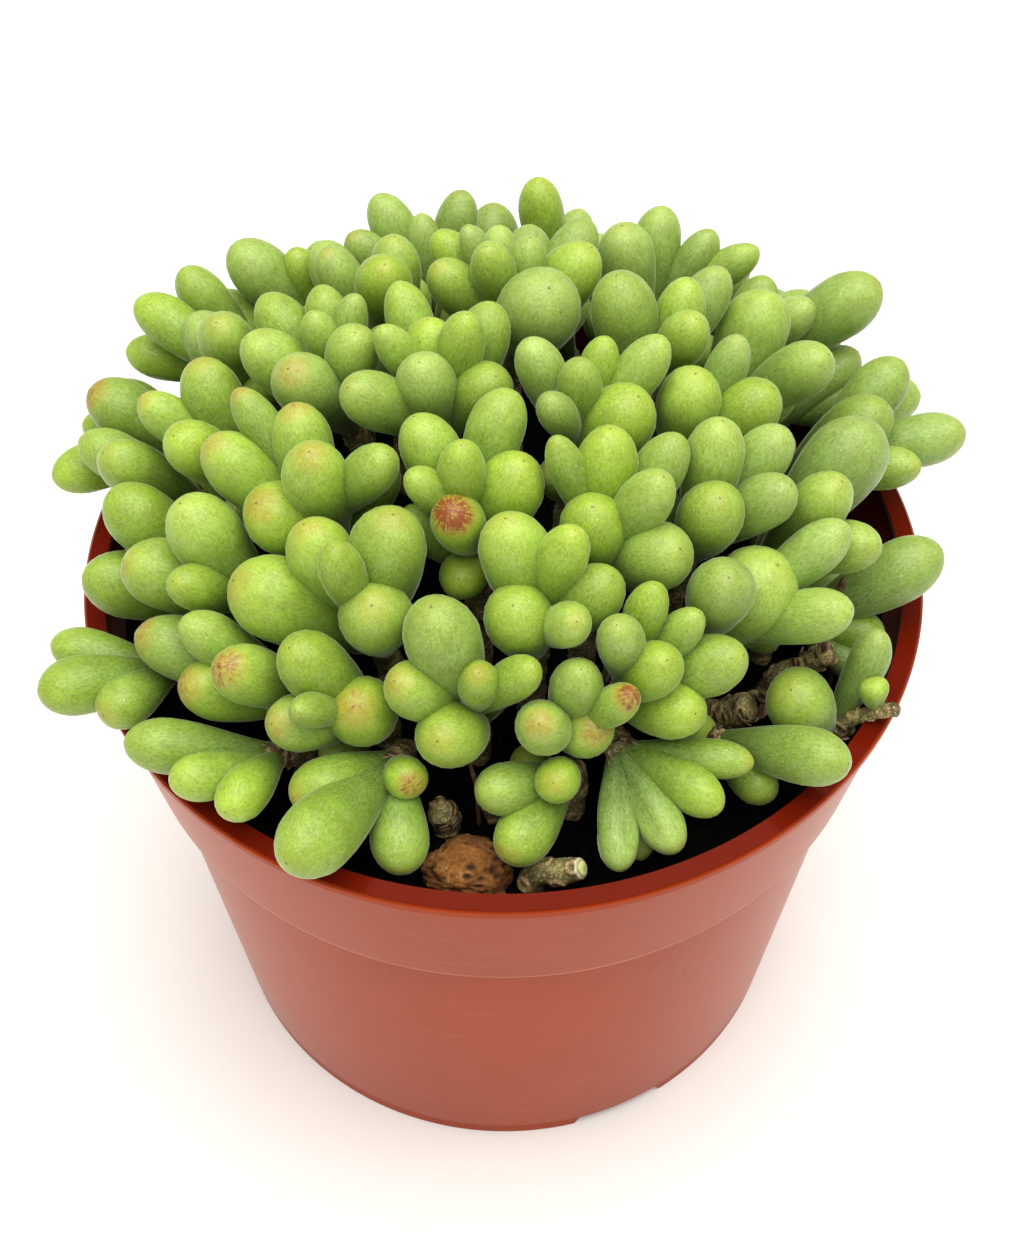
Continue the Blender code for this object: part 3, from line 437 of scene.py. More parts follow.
def canopy_point(right, front, reach=1.0):
    """The canopy's surface where it leans this many degrees to the right and to the front."""
    lean = np.radians(np.hypot(right, front))
    bearing = np.arctan2(right, front)
    flat = np.sin(lean)
    way = np.stack([flat * np.sin(bearing), -flat * np.cos(bearing), np.cos(lean)], -1)
    return CANOPY_MIDDLE + way * CANOPY_REACH * np.asarray(reach)[..., None]


def outward(points):
    """The canopy's outward direction at each point."""
    return normalized((points - CANOPY_MIDDLE) / CANOPY_REACH ** 2)


def growth_way(points):
    """Which way the shoots grow there: outward, but more upright, above all at the front."""
    return normalized(outward(points) * UPRIGHT_GROWTH)


def sunflower(count, lowest_cosine):
    """Evenly spread leans in degrees, as seeds sit in a sunflower, from the top down."""
    k = np.arange(count) + 0.5
    lean = np.degrees(np.arccos(1 - (1 - lowest_cosine) * k / count))
    bearing = k * GOLDEN_ANGLE
    return lean * np.sin(bearing), lean * np.cos(bearing)


# %% Leaf tips, and the shoot that each belongs to
def canopy_tips(draw):
    """The listed tips, and more drawn at random wherever the hidden side is still bare."""
    right, front, widths, reach = np.array([(*row, 1)[:4] for row in CANOPY_TIPS], float).T
    tips = canopy_point(right, front, reach)
    rights, fronts = sunflower(HIDDEN_TIPS, HIDDEN_LOWEST)
    for k in draw.permutation(HIDDEN_TIPS):
        point = canopy_point(rights[k], fronts[k], draw.uniform(*HIDDEN_REACH))
        width = draw.uniform(*HIDDEN_LEAF_WIDTHS)
        away = np.linalg.norm(tips - point, axis=1)
        hidden = outward(point) @ OPEN_SIDE < OPEN_LIMIT
        if hidden and (away > TIP_SPACING * (widths + width)).all():
            tips = np.vstack([tips, point])
            widths = np.append(widths, width)
    return tips, widths


def gather(tips):
    """Which shoot each tip belongs to: the nearest of the evenly spread middles, moved to its tips."""
    middles = canopy_point(*sunflower(SHOOT_MIDDLES, 0.0))
    for _ in range(GATHERING_TURNS):
        shoot = distances(tips, middles).argmin(axis=1)
        shoot = np.unique(shoot, return_inverse=True)[1].reshape(-1)
        middles = np.array([tips[shoot == k].mean(axis=0) for k in range(shoot.max() + 1)])
    return shoot, middles


# %% [markdown]
# ## How the stems run
#
# Each shoot's stem stands upright in the soil and bends towards its head. Stems that would touch
# are moved apart at the foot. A leaf's root is the highest point of the stem from which a leaf of
# that width just reaches its tip.

# %% Stem paths
def unit(vector):
    """One vector at length one."""
    return vector / np.linalg.norm(vector)


def lengths_along(points):
    """How far along a path each of its points lies."""
    return np.append(0, np.cumsum(np.linalg.norm(np.diff(points, axis=0), axis=1)))


def on_path(at, along, points):
    """The places on a path at these lengths along it."""
    return np.stack([np.interp(at, along, points[:, axis]) for axis in range(3)], -1)


def stem_path(foot, head, way):
    """Points from the foot in the soil, upright to the soil's top, then curving to the head."""
    top = np.array((foot[0], foot[1], SOIL_TOP + STRAIGHT_ABOVE_SOIL))
    rise = BEND_SHARE * np.linalg.norm(head - top)
    first = top + np.array((0, 0, rise))
    last = head - way * rise
    t = np.linspace(0, 1, STEM_POINTS - 1)[:, None]
    curve = (1 - t) ** 3 * top + 3 * (1 - t) ** 2 * t * first + 3 * (1 - t) * t ** 2 * last + t ** 3 * head
    buried = np.array((foot[0], foot[1], SOIL_TOP - HOLE_DEPTH + FOOT_CLEARANCE))
    return np.vstack([buried, curve])


def dense(path, count=20):
    """The same path with many points, for measuring clearances."""
    return on_path(np.linspace(0, len(path) - 1, count), np.arange(len(path)), path)


# %% Feet that stand clear of each other
def spread_feet(feet, heads, ways, fixed):
    """Moves the feet until no two stems come closer than two radii and a gap, and returns the paths."""
    still = [dense(path) for path in fixed]
    for _ in range(SPREADING_TURNS):
        lines = np.array([dense(stem_path(*stem)) for stem in zip(feet, heads, ways)] + still)
        for a in range(len(feet)):
            gap = lines[a][:, None] - lines[:, None]
            far = np.linalg.norm(gap, axis=3)
            far[a] = FOOT_SPACING
            for b in np.flatnonzero(far.min(axis=(1, 2)) < FOOT_SPACING):
                near = np.unravel_index(far[b].argmin(), far[b].shape)
                short = FOOT_SPACING - far[b][near]
                feet[a] = feet[a] + unit(gap[b][near][:2] + NOTHING) * short * SPREADING_STEP
            feet[a] = feet[a] * min(1.0, FOOT_LIMIT / np.linalg.norm(feet[a]))
    return [stem_path(*stem) for stem in zip(feet, heads, ways)]


# %% The leaf's outline along its length, and its root on the stem
def leaf_profile(t):
    """Radius along a leaf, 1 at its widest: a neck that swells to the belly, then a round cap."""
    swell = NECK + (1 - NECK) * np.sin(np.pi / 2 * np.clip(t / BELLY, 0, 1)) ** SWELL_POWER
    cap = np.sqrt(np.clip(1 - (np.clip(t - BELLY, 0, 1) / (1 - BELLY)) ** 2, 0, 1))
    return np.where(t < BELLY, swell, cap)


def leaf_root(path, tip, width, deepest=ROOT_DEPTH):
    """The highest point near the stem's head from which a leaf of this width reaches its tip."""
    length = np.clip(LEAF_LENGTH_BASE + LEAF_LENGTH_SHARE * width, *LEAF_LENGTHS)
    points = dense(path, 60)[::-1]
    down = lengths_along(points)
    points = points[down <= min(deepest, ROOT_SHARE * down[-1])]
    far = np.linalg.norm(points - tip, axis=1) >= length
    return points[far.argmax()] if far.any() else points[-1]


# %% [markdown]
# ## How leaves make room for each other
#
# Crowded leaves press each other aside as they grow. Each leaf is measured as a row of balls along
# its axis. Balls that overlap push their leaves' tips apart a little, many times over, and the pot's
# wall and lip push too. What still crosses at the end is slimmed.

# %% Balls along a leaf, and the pot's push
BALLS_AT = np.array((0.18, 0.34, 0.52, 0.70, 0.86))
BALL_SHARE = leaf_profile(BALLS_AT) * BALL_FULLNESS


def ball_owners(count):
    """Which of this many leaves each ball belongs to."""
    return np.repeat(np.arange(count), len(BALLS_AT))


def balls(tips, roots, widths):
    """Middles and radii of the balls of every leaf, one row after another."""
    middles = roots[:, None] + BALLS_AT[:, None] * (tips - roots)[:, None]
    return middles.reshape(-1, 3), (widths[:, None] / 2 * BALL_SHARE).reshape(-1)


def pot_push(middle, radius):
    """How far a ball moves to clear the soil, the wall and the lip."""
    push = np.zeros_like(middle)
    push[:, 2] += np.maximum(SOIL_TOP + SOIL_CLEARANCE + radius - middle[:, 2], 0)
    bore = RIM_RADIUS - LIP_WIDTH - POT_CLEARANCE
    lip = POT_HEIGHT + POT_CLEARANCE
    around = np.hypot(middle[:, 0], middle[:, 1])
    low = (middle[:, 2] - radius < lip) & (around + radius > bore)
    inside = low & (middle[:, 2] < lip) & (around < bore)
    inward = middle[:, :2] / around[:, None] * (around + radius - bore)[:, None]
    push[inside, :2] -= inward[inside]
    above = low & ~inside & (around - radius < RIM_RADIUS + POT_CLEARANCE)
    push[above, 2] += (lip + radius - middle[:, 2])[above]
    return push


# %% Pairs that may press each other
def neighbours(middle, shoot, stems):
    """Pairs of balls of two leaves, and of a ball and a point of another stem, that may meet."""
    points, _, stem_owner = stems
    leaf = ball_owners(len(shoot))
    owner = shoot[leaf]
    at = np.tile(BALLS_AT, len(shoot))
    near = distances(middle, middle) < MEETING_RANGE
    rooted = (owner[:, None] == owner) & ((at[:, None] < SHARED_ROOT) | (at < SHARED_ROOT))
    one, other = np.nonzero(np.triu(near & (leaf[:, None] != leaf) & ~rooted))
    close = distances(middle, points) < MEETING_RANGE
    ball, stem = np.nonzero(close & (owner[:, None] != stem_owner))
    return one, other, owner[one] == owner[other], ball, stem


def presses(middle, radius, pairs, stems):
    """How deep each pair presses, and the direction that frees its first ball."""
    one, other, kin, ball, stem = pairs
    points, radii, _ = stems
    gap = middle[one] - middle[other]
    far = np.linalg.norm(gap, axis=1) + NOTHING
    need = (radius[one] + radius[other]) * np.where(kin, LEAF_PRESS, 1) + np.where(kin, 0, LEAF_GAP)
    reach = middle[ball] - points[stem]
    near = np.linalg.norm(reach, axis=1) + NOTHING
    lean = radius[ball] + radii[stem] + LEAF_GAP - near
    return gap / far[:, None], np.maximum(need - far, 0), reach / near[:, None], np.maximum(lean, 0)


# %% Pressing apart and slimming
def move_apart(tips, roots, widths, pairs, stems):
    """Pushes crowded leaves apart by moving their tips, which are drawn back to where they began."""
    start = tips.copy()
    one, other, _, ball, _ = pairs
    leaf = ball_owners(len(tips))
    at = np.tile(BALLS_AT, len(tips))[:, None]
    for turn in range(SETTLING_TURNS):
        middle, radius = balls(tips, roots, widths)
        way, deep, side, lean = presses(middle, radius, pairs, stems)
        push = pot_push(middle, radius)
        half = 0.5 * way * deep[:, None]
        np.add.at(push, one, half)
        np.add.at(push, other, -half)
        np.add.at(push, ball, side * lean[:, None])
        move = np.zeros_like(tips)
        np.add.at(move, leaf, push * at)
        size = np.linalg.norm(move, axis=1, keepdims=True)
        move *= np.minimum(1, LARGEST_MOVE / np.maximum(size, NOTHING))
        pull = DRAWN_BACK if turn < DRAWN_TURNS * SETTLING_TURNS else 0.0
        tips = tips + MOVE_SHARE * move + pull * (start - tips)
    return tips


def slim(tips, roots, widths, pairs, stems):
    """Slims the leaves that still cross a leaf of another stem, a stem or the pot."""
    one, other, kin, ball, _ = pairs
    leaf = ball_owners(len(tips))
    for _ in range(SLIMMING_TURNS):
        middle, radius = balls(tips, roots, widths)
        _, deep, _, lean = presses(middle, radius, pairs, stems)
        shrink = np.where(kin, 0, deep) / (radius[one] + radius[other])
        keep = np.ones(len(tips))
        np.minimum.at(keep, leaf[one], 1 - shrink)
        np.minimum.at(keep, leaf[other], 1 - shrink)
        np.minimum.at(keep, leaf[ball], 1 - lean / radius[ball])
        np.minimum.at(keep, leaf, 1 - np.linalg.norm(pot_push(middle, radius), axis=1) / radius)
        widths = widths * np.maximum(keep, MOST_SLIMMING)
    return widths


# %% Smaller leaves inside the canopy
def fits(tip, root, width, stem, tips, roots, widths, shoot, stems):
    """Whether a new leaf of this stem crosses no leaf, no other stem and not the pot."""
    points, radii, stem_owner = stems
    middle, radius = balls(tip[None], root[None], np.array([width]))
    others, sizes = balls(tips, roots, widths)
    kin = np.repeat(shoot, len(BALLS_AT)) == stem
    need = (radius[:, None] + sizes) * np.where(kin, LEAF_PRESS, 1) + np.where(kin, 0, LEAF_GAP)
    crossed = distances(middle, others) < need
    crossed[:2] &= ~kin
    near = distances(middle, points) < radius[:, None] + radii + LEAF_GAP
    near[:, stem_owner == stem] = False
    return not (crossed.any() or near.any() or np.abs(pot_push(middle, radius)).max() > 0)


def inner_leaves(draw, tips, roots, widths, shoot, paths, stems):
    """Adds smaller leaves below the canopy's surface, wherever one fits between the others."""
    rights, fronts = sunflower(INNER_TIPS, INNER_LOWEST)
    heads = np.array([path[-1] for path in paths])
    for k in draw.permutation(INNER_TIPS):
        if len(tips) >= MOST_LEAVES:
            break
        tip = canopy_point(rights[k], fronts[k], draw.uniform(*INNER_REACH))
        width = draw.uniform(*INNER_LEAF_WIDTHS)
        stem = np.linalg.norm(heads - tip, axis=1).argmin()
        root = leaf_root(paths[stem], tip, width)
        if not INNER_LEAF_LENGTHS[0] < np.linalg.norm(tip - root) < INNER_LEAF_LENGTHS[1]:
            continue
        if fits(tip, root, width, stem, tips, roots, widths, shoot, stems):
            tips = np.vstack([tips, tip])
            roots = np.vstack([roots, root])
            widths = np.append(widths, width)
            shoot = np.append(shoot, stem)
    return tips, roots, widths, shoot


# %% The shoots and their stems
def canopy_shoots(tips):
    """The canopy's shoots: which shoot each tip belongs to, their heads, their ways and their feet."""
    shoot, middles = gather(tips)
    ways = growth_way(middles)
    heads = middles - HEAD_DEPTH * ways
    heads[:, 2] = np.maximum(heads[:, 2], HEAD_FLOOR)
    return shoot, list(heads), list(ways), [FOOT_SHARE * head[:2] for head in heads]


def add_low_shoots(tips, widths, shoot, heads, ways, feet):
    """The same with the low shoots of the list after them."""
    for foot, head, leaves in LOW_SHOOTS:
        rows = np.array(leaves, float)
        heads.append(np.array(head, float))
        feet.append(np.array(foot, float))
        ways.append(unit(rows[:, :3].mean(axis=0) - heads[-1]))
        tips = np.vstack([tips, rows[:, :3]])
        widths = np.append(widths, rows[:, 3])
        shoot = np.append(shoot, [len(heads) - 1] * len(rows))
    return tips, widths, shoot


def bare_path(foot, end):
    """The path of an old stem with no leaves."""
    foot = np.array(foot, float)
    end = np.array(end, float)
    return stem_path(foot, end, unit(end - (*foot, SOIL_TOP)))


def stem_points(paths, bare):
    """Points along every stem, the stem's radius at each, and which stem each point is on."""
    lines = np.array([dense(path) for path in paths + bare])
    owner = np.repeat(np.arange(len(lines)), lines.shape[1])
    radii = np.array([STEM_RADIUS] * len(paths) + [radius for _, _, radius in BARE_STEMS])
    return lines.reshape(-1, 3), radii[owner], owner


# %% Grow the plant
def grow():
    """Every leaf and stem: tips, roots, widths, the shoot of each leaf, stem paths and bare paths."""
    draw = np.random.default_rng(SEED)
    tips, widths = canopy_tips(draw)
    shoot, heads, ways, feet = canopy_shoots(tips)
    tips, widths, shoot = add_low_shoots(tips, widths, shoot, heads, ways, feet)
    bare = [bare_path(foot, end) for foot, end, _ in BARE_STEMS]
    paths = spread_feet(feet, heads, ways, bare)
    depths = np.where(shoot < len(paths) - len(LOW_SHOOTS), ROOT_DEPTH, LOW_ROOT_DEPTH)
    roots = np.array([leaf_root(paths[k], *each) for k, *each in zip(shoot, tips, widths, depths)])
    stems = stem_points(paths, bare)
    pairs = neighbours(balls(tips, roots, widths)[0], shoot, stems)
    tips = move_apart(tips, roots, widths, pairs, stems)
    widths = slim(tips, roots, widths, pairs, stems)
    tips, roots, widths, shoot = inner_leaves(draw, tips, roots, widths, shoot, paths, stems)
    return tips, roots, widths, shoot, paths, bare


tips, roots, widths, shoot, paths, bare_paths = grow()
print("leaves", len(tips), "shoots", len(paths), "widest leaf", round(float(widths.max()), 1), "mm")

# %% [markdown]
# ## Closed surfaces from grids
#
# Leaves, stems, soil, stone and pot are all rings of points round an axis: a grid of one parameter
# along and one round. One function joins such grids into a closed mesh. The first and last ring
# shrink to a single pole each, so no seam or hole is left.

# %% Rings to a closed mesh
ATTRIBUTE_KINDS = {1: ("FLOAT", "value"), 3: ("FLOAT_VECTOR", "vector"), 4: ("FLOAT_COLOR", "color")}


def surface_points(grid):
    """What grid[surface, ring, side] holds as one list, with each surface's two poles at its end."""
    body = grid[:, 1:-1].reshape(len(grid), -1, grid.shape[-1])
    poles = grid[:, [0, -1]].mean(axis=2)
    return np.concatenate([body, poles], axis=1).reshape(-1, grid.shape[-1])


def ring_faces(count, along, sides):
    """Quads that join each ring to the next, and triangles from the end rings to the poles."""
    inner = along - 2
    i = np.arange(inner - 1)[:, None]
    j = np.arange(sides)
    k = (j + 1) % sides
    end = (inner - 1) * sides
    quads = np.stack([i * sides + j, i * sides + k, (i + 1) * sides + k, (i + 1) * sides + j], -1)
    first = np.stack([np.full(sides, inner * sides), k, j], -1)
    last = np.stack([end + j, end + k, np.full(sides, inner * sides + 1)], -1)
    shift = (np.arange(count) * (inner * sides + 2))[:, None, None]
    quads = quads.reshape(1, -1, 4) + shift
    fans = np.vstack([first, last]) + shift
    return quads.reshape(-1, 4).tolist() + fans.reshape(-1, 3).tolist()


# %% A piece of the scene
def piece(name, finish, rings, values=(), nodes=(), smooth=True):
    """Makes rings[surface, ring, side], in millimetres, a piece that stands for the named nodes.

    The values are grids too, with one more axis for their parts, and go into the mesh by name.
    """
    mesh = bpy.data.meshes.new(name)
    mesh.from_pydata(to_metres(surface_points(rings)).tolist(), [], ring_faces(*rings.shape[:3]))
    for key, grid in dict(values).items():
        each = surface_points(np.broadcast_to(grid, (*rings.shape[:3], grid.shape[-1])))
        kind, field = ATTRIBUTE_KINDS[each.shape[1]]
        mesh.attributes.new(key, kind, "POINT").data.foreach_set(field, each.astype(np.float32).ravel())
    if smooth:
        mesh.shade_smooth()
    mesh.materials.append(finish)
    made = link(name, mesh)
    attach(made, "root")
    if nodes:
        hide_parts(*nodes)
    return made


# %% Directions and points for the grids
def turned_frames(directions):
    """Two unit vectors square to each direction and to each other."""
    helper = np.where(np.abs(directions[..., 2:]) < 0.9, (0.0, 0.0, 1.0), (1.0, 0.0, 0.0))
    side = normalized(np.cross(directions, helper))
    return side, np.cross(directions, side)


def circle(sides):
    """Angles of evenly spread points round a circle."""
    return np.linspace(0, 2 * np.pi, sides, endpoint=False)


def toward(side, up, angle):
    """The direction at an angle from the first of two unit vectors to the second."""
    return side * np.cos(angle)[..., None] + up * np.sin(angle)[..., None]


def stacked(*parts):
    """Points from a grid for each part, all filled out to the same shape."""
    return np.stack(np.broadcast_arrays(*parts), -1)


def ball_points(rings, sides):
    """Points of a ball of radius one, ring by ring from the bottom up."""
    lean = np.linspace(0, np.pi, rings)[:, None]
    turn = circle(sides)
    return stacked(np.sin(lean) * np.cos(turn), np.sin(lean) * np.sin(turn), -np.cos(lean))


# %% [markdown]
# ## The leaf skin
#
# The leaves are fat water stores under a smooth skin. Light goes a few millimetres into the flesh,
# so the shader scatters some of it. The green is darker at the root and lighter towards the tip:
# partly the leaf's own paler tip, and partly painted shade deep in the canopy and painted light on
# the tips. Some leaves are more glaucous than others, and clouds a few millimetres wide break it up.
# Over that lie a fine grain, a net of paler lines half a millimetre apart, small pale specks, and a
# rust red flush at the tip of the leaves that had most sun, in streaks that meet at the point. A thin
# bloom of wax makes the edges look pale, which sheen gives. Each layer is a function of its own. The
# places that these patterns are laid out on come from the leaf itself, in millimetres.

# %% Green of the leaf, with painted shade at its root and painted light at its tip
# Stops along the leaf: dark at the root as painted shade, light at the tip as painted light, over a tip
# that is somewhat paler of itself
FRESH_GREEN_SHADE_TO_LIGHT = ((0.0, "#566f26"), (0.45, "#7f9e2d"), (0.8, "#a0bd35"), (1.0, "#b4cb40"))
GLAUCOUS_GREEN_SHADE_TO_LIGHT = ((0.0, "#58723a"), (0.45, "#7f9b4e"), (0.8, "#9fb95e"), (1.0, "#b0c46a"))
DARKER_LEAF = ((0.0, "#d2d6cc"), (1.0, "#ffffff"))
# Noises, here and below, are a size, a detail and a roughness
LEAF_CLOUDS = (3.3, 3.0, 0.6)
CLOUD_TINTS = ((0.3, "#d4d5a6"), (0.7, "#f4feee"))
CLOUD_SHARE = 0.8


def leaf_green(tree, place, at, tones):
    """Green along the leaf, darker at the root and lighter at the tip, partly painted shade and painted
    light; fresh or glaucous and light or dark leaf by leaf, with soft clouds.
    """
    # The ramps along the leaf paint shade at the root and light at the tip
    green = mix(tree, tones["Red"], ramp(tree, at, FRESH_GREEN_SHADE_TO_LIGHT), ramp(tree, at, GLAUCOUS_GREEN_SHADE_TO_LIGHT))
    green = mix(tree, 1.0, green, ramp(tree, tones["Blue"], DARKER_LEAF), "MULTIPLY")
    cloud = noise(tree, place, *LEAF_CLOUDS)["Fac"]
    return mix(tree, CLOUD_SHARE, green, ramp(tree, cloud, CLOUD_TINTS), "MULTIPLY")


print("leaf cloud size", LEAF_CLOUDS[0], "mm")

# %% Net, grain and specks of the leaf
GRAIN = (0.45, 3.0, 0.8)
GRAIN_DRAWN_OUT = (1.0, 1.0, 0.4)
GRAIN_TINTS = ((0.36, "#c2d09c"), (0.62, "#ffffff"))
GRAIN_SHARE = 0.75
NET_MESH = 0.5
NET_BEND = 0.25
NET_LINE = 0.22
NET_STRENGTH = 0.11
NET_TINT = "#cfdca8"
# Specks: millimetres between them, inner and outer radius in that unit, strength, and colour
LEAF_SPECKS = ((1.4, 0.04, 0.11, 0.45, "#e2e8cb"), (6.2, 0.018, 0.035, 0.7, "#4b3f24"))


def leaf_marks(tree, green, place):
    """A grain drawn out along the leaf, a net of pale lines, pale specks and a few dark dots."""
    along = add(tree, "Mapping", {"Vector": place, "Scale": GRAIN_DRAWN_OUT}).outputs["Vector"]
    grit = noise(tree, along, *GRAIN)
    green = mix(tree, GRAIN_SHARE, green, ramp(tree, grit["Fac"], GRAIN_TINTS), "MULTIPLY")
    net = cells(tree, mix(tree, NET_BEND, along, grit["Color"], "ADD"), NET_MESH, "DISTANCE_TO_EDGE")
    lines = rescale(tree, net, 0.0, NET_LINE, NET_STRENGTH, 0.0)
    return speckled(tree, mix(tree, lines, green, NET_TINT), place, 1, LEAF_SPECKS), lines


print("mesh of the leaf's net", NET_MESH, "mm")

# %% Flush of the leaf's tip
STREAKS = (1 / 6, 4.0, 0.65)
FLECKS = (0.9, 4.0, 0.7)
PATCH_RANGE = (0.04, 0.4)
FLUSH_REACH = (0.97, 0.80)
FLUSH_STRENGTH = 2.0
FLUSH_TINTS = ((0.0, "#adac42"), (0.5, "#a67c36"), (1.0, "#803f1e"))
POINT_RANGE = (0.9984, 0.9997)
POINT_STRENGTH = 0.85
POINT_TINT = "#54361e"


def leaf_flush(tree, green, place, around, at, tones):
    """Rust red at the tip of sunned leaves, broken into streaks that meet at the dark point.

    The flush is the product of a rise towards the tip, the leaf's own share, and two noises. The
    more a leaf is flushed, the further down from its tip the rise starts.
    """
    streaks = noise(tree, around, *STREAKS)["Fac"]
    flecks = noise(tree, place, *FLECKS)["Fac"]
    patchy = rescale(tree, compute(tree, "MULTIPLY", streaks, flecks), *PATCH_RANGE)
    reach = rescale(tree, tones["Green"], 0.0, 1.0, *FLUSH_REACH)
    rise = rescale(tree, at, reach, 1.0, interpolation_type="SMOOTHSTEP")
    flush = compute(tree, "MULTIPLY", compute(tree, "MULTIPLY", rise, tones["Green"]), patchy)
    strong = compute(tree, "MULTIPLY", flush, FLUSH_STRENGTH, use_clamp=True)
    green = mix(tree, strong, green, ramp(tree, strong, FLUSH_TINTS))
    return mix(tree, rescale(tree, at, *POINT_RANGE, 0.0, POINT_STRENGTH), green, POINT_TINT)


print("flecks of the flush", FLECKS[0], "mm")

# %% Waxy leaf skin
# Reliefs, here and below, are a strength and a depth in millimetres
NET_RELIEF = (0.3, 0.2)
WAX = {
    "Roughness": 0.42, "IOR": 1.42, "Subsurface Weight": 0.1, "Subsurface Radius": (0.8, 1.0, 0.3),
    "Subsurface Scale": 2.5 * MM, "Sheen Weight": 0.45, "Sheen Roughness": 0.25,
    "Sheen Tint": "#e6f0d0",
}


def leaf_skin():
    """The leaf's colour in three layers, and a satin wax with a pale bloom at the edges."""
    made, tree, shader = blank_material("waxy_succulent_skin")
    place = attribute(tree, "leaf_place", "Vector")
    around = attribute(tree, "leaf_round", "Vector")
    at = attribute(tree, "leaf_at")
    tones = add(tree, "SeparateColor", {"Color": attribute(tree, "leaf_tone", "Color")}).outputs
    marked, lines = leaf_marks(tree, leaf_green(tree, place, at, tones), place)
    tint = leaf_flush(tree, marked, place, around, at, tones)
    feed(tree, shader, {"Base Color": tint, "Normal": bump(tree, lines, *NET_RELIEF), **WAX})
    return made


skin = leaf_skin()

# %% [markdown]
# ## Leaves
#
# A leaf is a club: it swells from a narrow neck to its widest at about seven tenths of its length,
# and closes in a round cap. Rings of points follow that outline along a slightly bent axis. The cap
# needs closer rings, so their places go by the sine of an angle there. Slow waves round and along
# the leaf keep it from looking turned on a lathe, and the last rings draw out a tiny point.

# %% Leaf shape
LEAF_ROUND = 20
NECK_RINGS = 9
CAP_RINGS = 8
LEAF_START = -0.08
FOOT_ROUNDING = 0.12
FOLD_DEPTH = 0.24
TWO_LOBES = 0.022
SLOW_WAVE = 0.012


def ring_places():
    """Places of the rings along a leaf, from just below its root to its tip."""
    neck = np.linspace(LEAF_START, BELLY, NECK_RINGS)
    cap = BELLY + (1 - BELLY) * np.sin(np.linspace(0, np.pi / 2, CAP_RINGS + 1)[1:])
    return np.concatenate([neck, cap])[None, :, None]


def leaf_girth(t, angle, draw, width, shrivel):
    """The outline's radius along a leaf, and with waves of two and three lobes and a dry leaf's folds.

    The folds are sunk along the leaf: high powers of cosines round its axis.
    """
    radius = width / 2 * leaf_profile(np.clip(t, 0, 1))
    radius = radius * np.sqrt(np.clip((t - LEAF_START) / FOOT_ROUNDING, 0, 1))
    lobes = 1 + TWO_LOBES * np.sin(2 * angle + 3 * draw[0])
    lobes = lobes + SLOW_WAVE * np.sin(3 * angle + 3 * draw[1] + 4 * t)
    lobes = lobes + SLOW_WAVE * np.sin(7 * t + 3 * draw[2] + angle)
    folds = np.cos(1.5 * angle + 3 * draw[1] + t) ** 12 + 0.4 * np.cos(2.5 * angle - 2 * t) ** 16
    folds = FOLD_DEPTH * shrivel * folds * np.sin(np.pi * np.clip(t, 0, 1))
    return radius, radius * (lobes - folds)


print("points of a leaf", LEAF_ROUND * (NECK_RINGS + CAP_RINGS))

# %% Leaves of one piece
POINT_HEIGHT = 0.1
POINT_RADIUS = 0.5
BEND = 0.6
PATTERN_SHIFT = 60
STREAK_SHIFT = 9
STREAK_CHANGE = 0.6
leaf_draw = np.random.default_rng(SEED + 1)


def leaf_piece(name, roots, tips, widths, shrivel, tones, nodes=()):
    """A piece of leaves, one for each row of root, tip and width, with values for the skin.

    A leaf's axis bends sideways by a parabola in t, which is 0 at the root and 1 at the tip. All
    angles and amounts are drawn per leaf. The skin gets the place in the leaf, the way round it
    and the place along it, and the leaf's tones.
    """
    t = ring_places()
    angle = circle(LEAF_ROUND)[None, None]
    draw = leaf_draw.uniform(-1, 1, (7, len(roots), 1, 1))
    length = np.linalg.norm(tips - roots, axis=1)[:, None, None]
    axis = (tips - roots)[:, None, None] / length[..., None]
    side, up = turned_frames(axis)
    radius, spread = leaf_girth(t, angle, draw, widths[:, None, None], shrivel[:, None, None])
    bend = (BEND * draw[3] * 4 * t * (1 - t))[..., None] * toward(side, up, 3 * draw[4])
    point = POINT_HEIGHT * np.exp(-(radius / POINT_RADIUS) ** 2) * (t > BELLY)
    centre = roots[:, None, None] + axis * (t * length + point)[..., None] + bend
    cosine, sine = np.cos(angle), np.sin(angle)
    values = {
        "leaf_place": stacked(spread * cosine, spread * sine, t * length + PATTERN_SHIFT * draw[5]),
        "leaf_round": stacked(cosine, sine, STREAK_CHANGE * t + STREAK_SHIFT * draw[6]),
        "leaf_at": t[..., None],
        "leaf_tone": tones[:, None, None],
    }
    piece(name, skin, centre + toward(side, up, angle) * spread[..., None], values, nodes)


# %% Tone of each leaf
# Tips of the leaves with folds, and of those with most red and how much, about where they are
SHRIVELLED_SPOTS = ((17.9, -66.5, 111.0), (27.2, -63.9, 112.5), (21.9, -61.0, 105.8))
RUDDY_SPOTS = (
    ((-8.5, -26.8, 152.7), 0.95), ((19.5, -51.9, 138.3), 0.8), ((-17.1, -48.5, 137.6), 0.35),
    ((-24.0, -48.3, 130.9), 0.45), ((-15.0, -56.3, 120.6), 0.6), ((7.4, -57.4, 122.6), 0.3),
    ((5.0, -54.3, 134.0), 0.4), ((14.5, -51.3, 129.0), 0.55), ((-30.4, -18.1, 157.2), 0.35),
)
# Rising to the left and to the front: where the sun's red starts, and over how many millimetres
SUN_FROM = (-5, -30)
SUN_RANGE = (50, 40)
MOST_SUN = 1.2
# The least red and how much more at most, and the same for what the sun adds
BLUSH = (0.04, 0.6)
BLUSH_POWER = 4
SUN_SHARE = (0.3, 0.6)
# The mean and the spread, and how much more per millimetre to the back right
GLAUCOUS = (0.5, 0.35)
GLAUCOUS_SLOPE = 0.004
LIGHTNESS = (0.2, 1.0)


def nearest_leaf(spot):
    """Which leaf has its tip nearest to a spot."""
    return np.linalg.norm(tips - np.array(spot), axis=1).argmin()


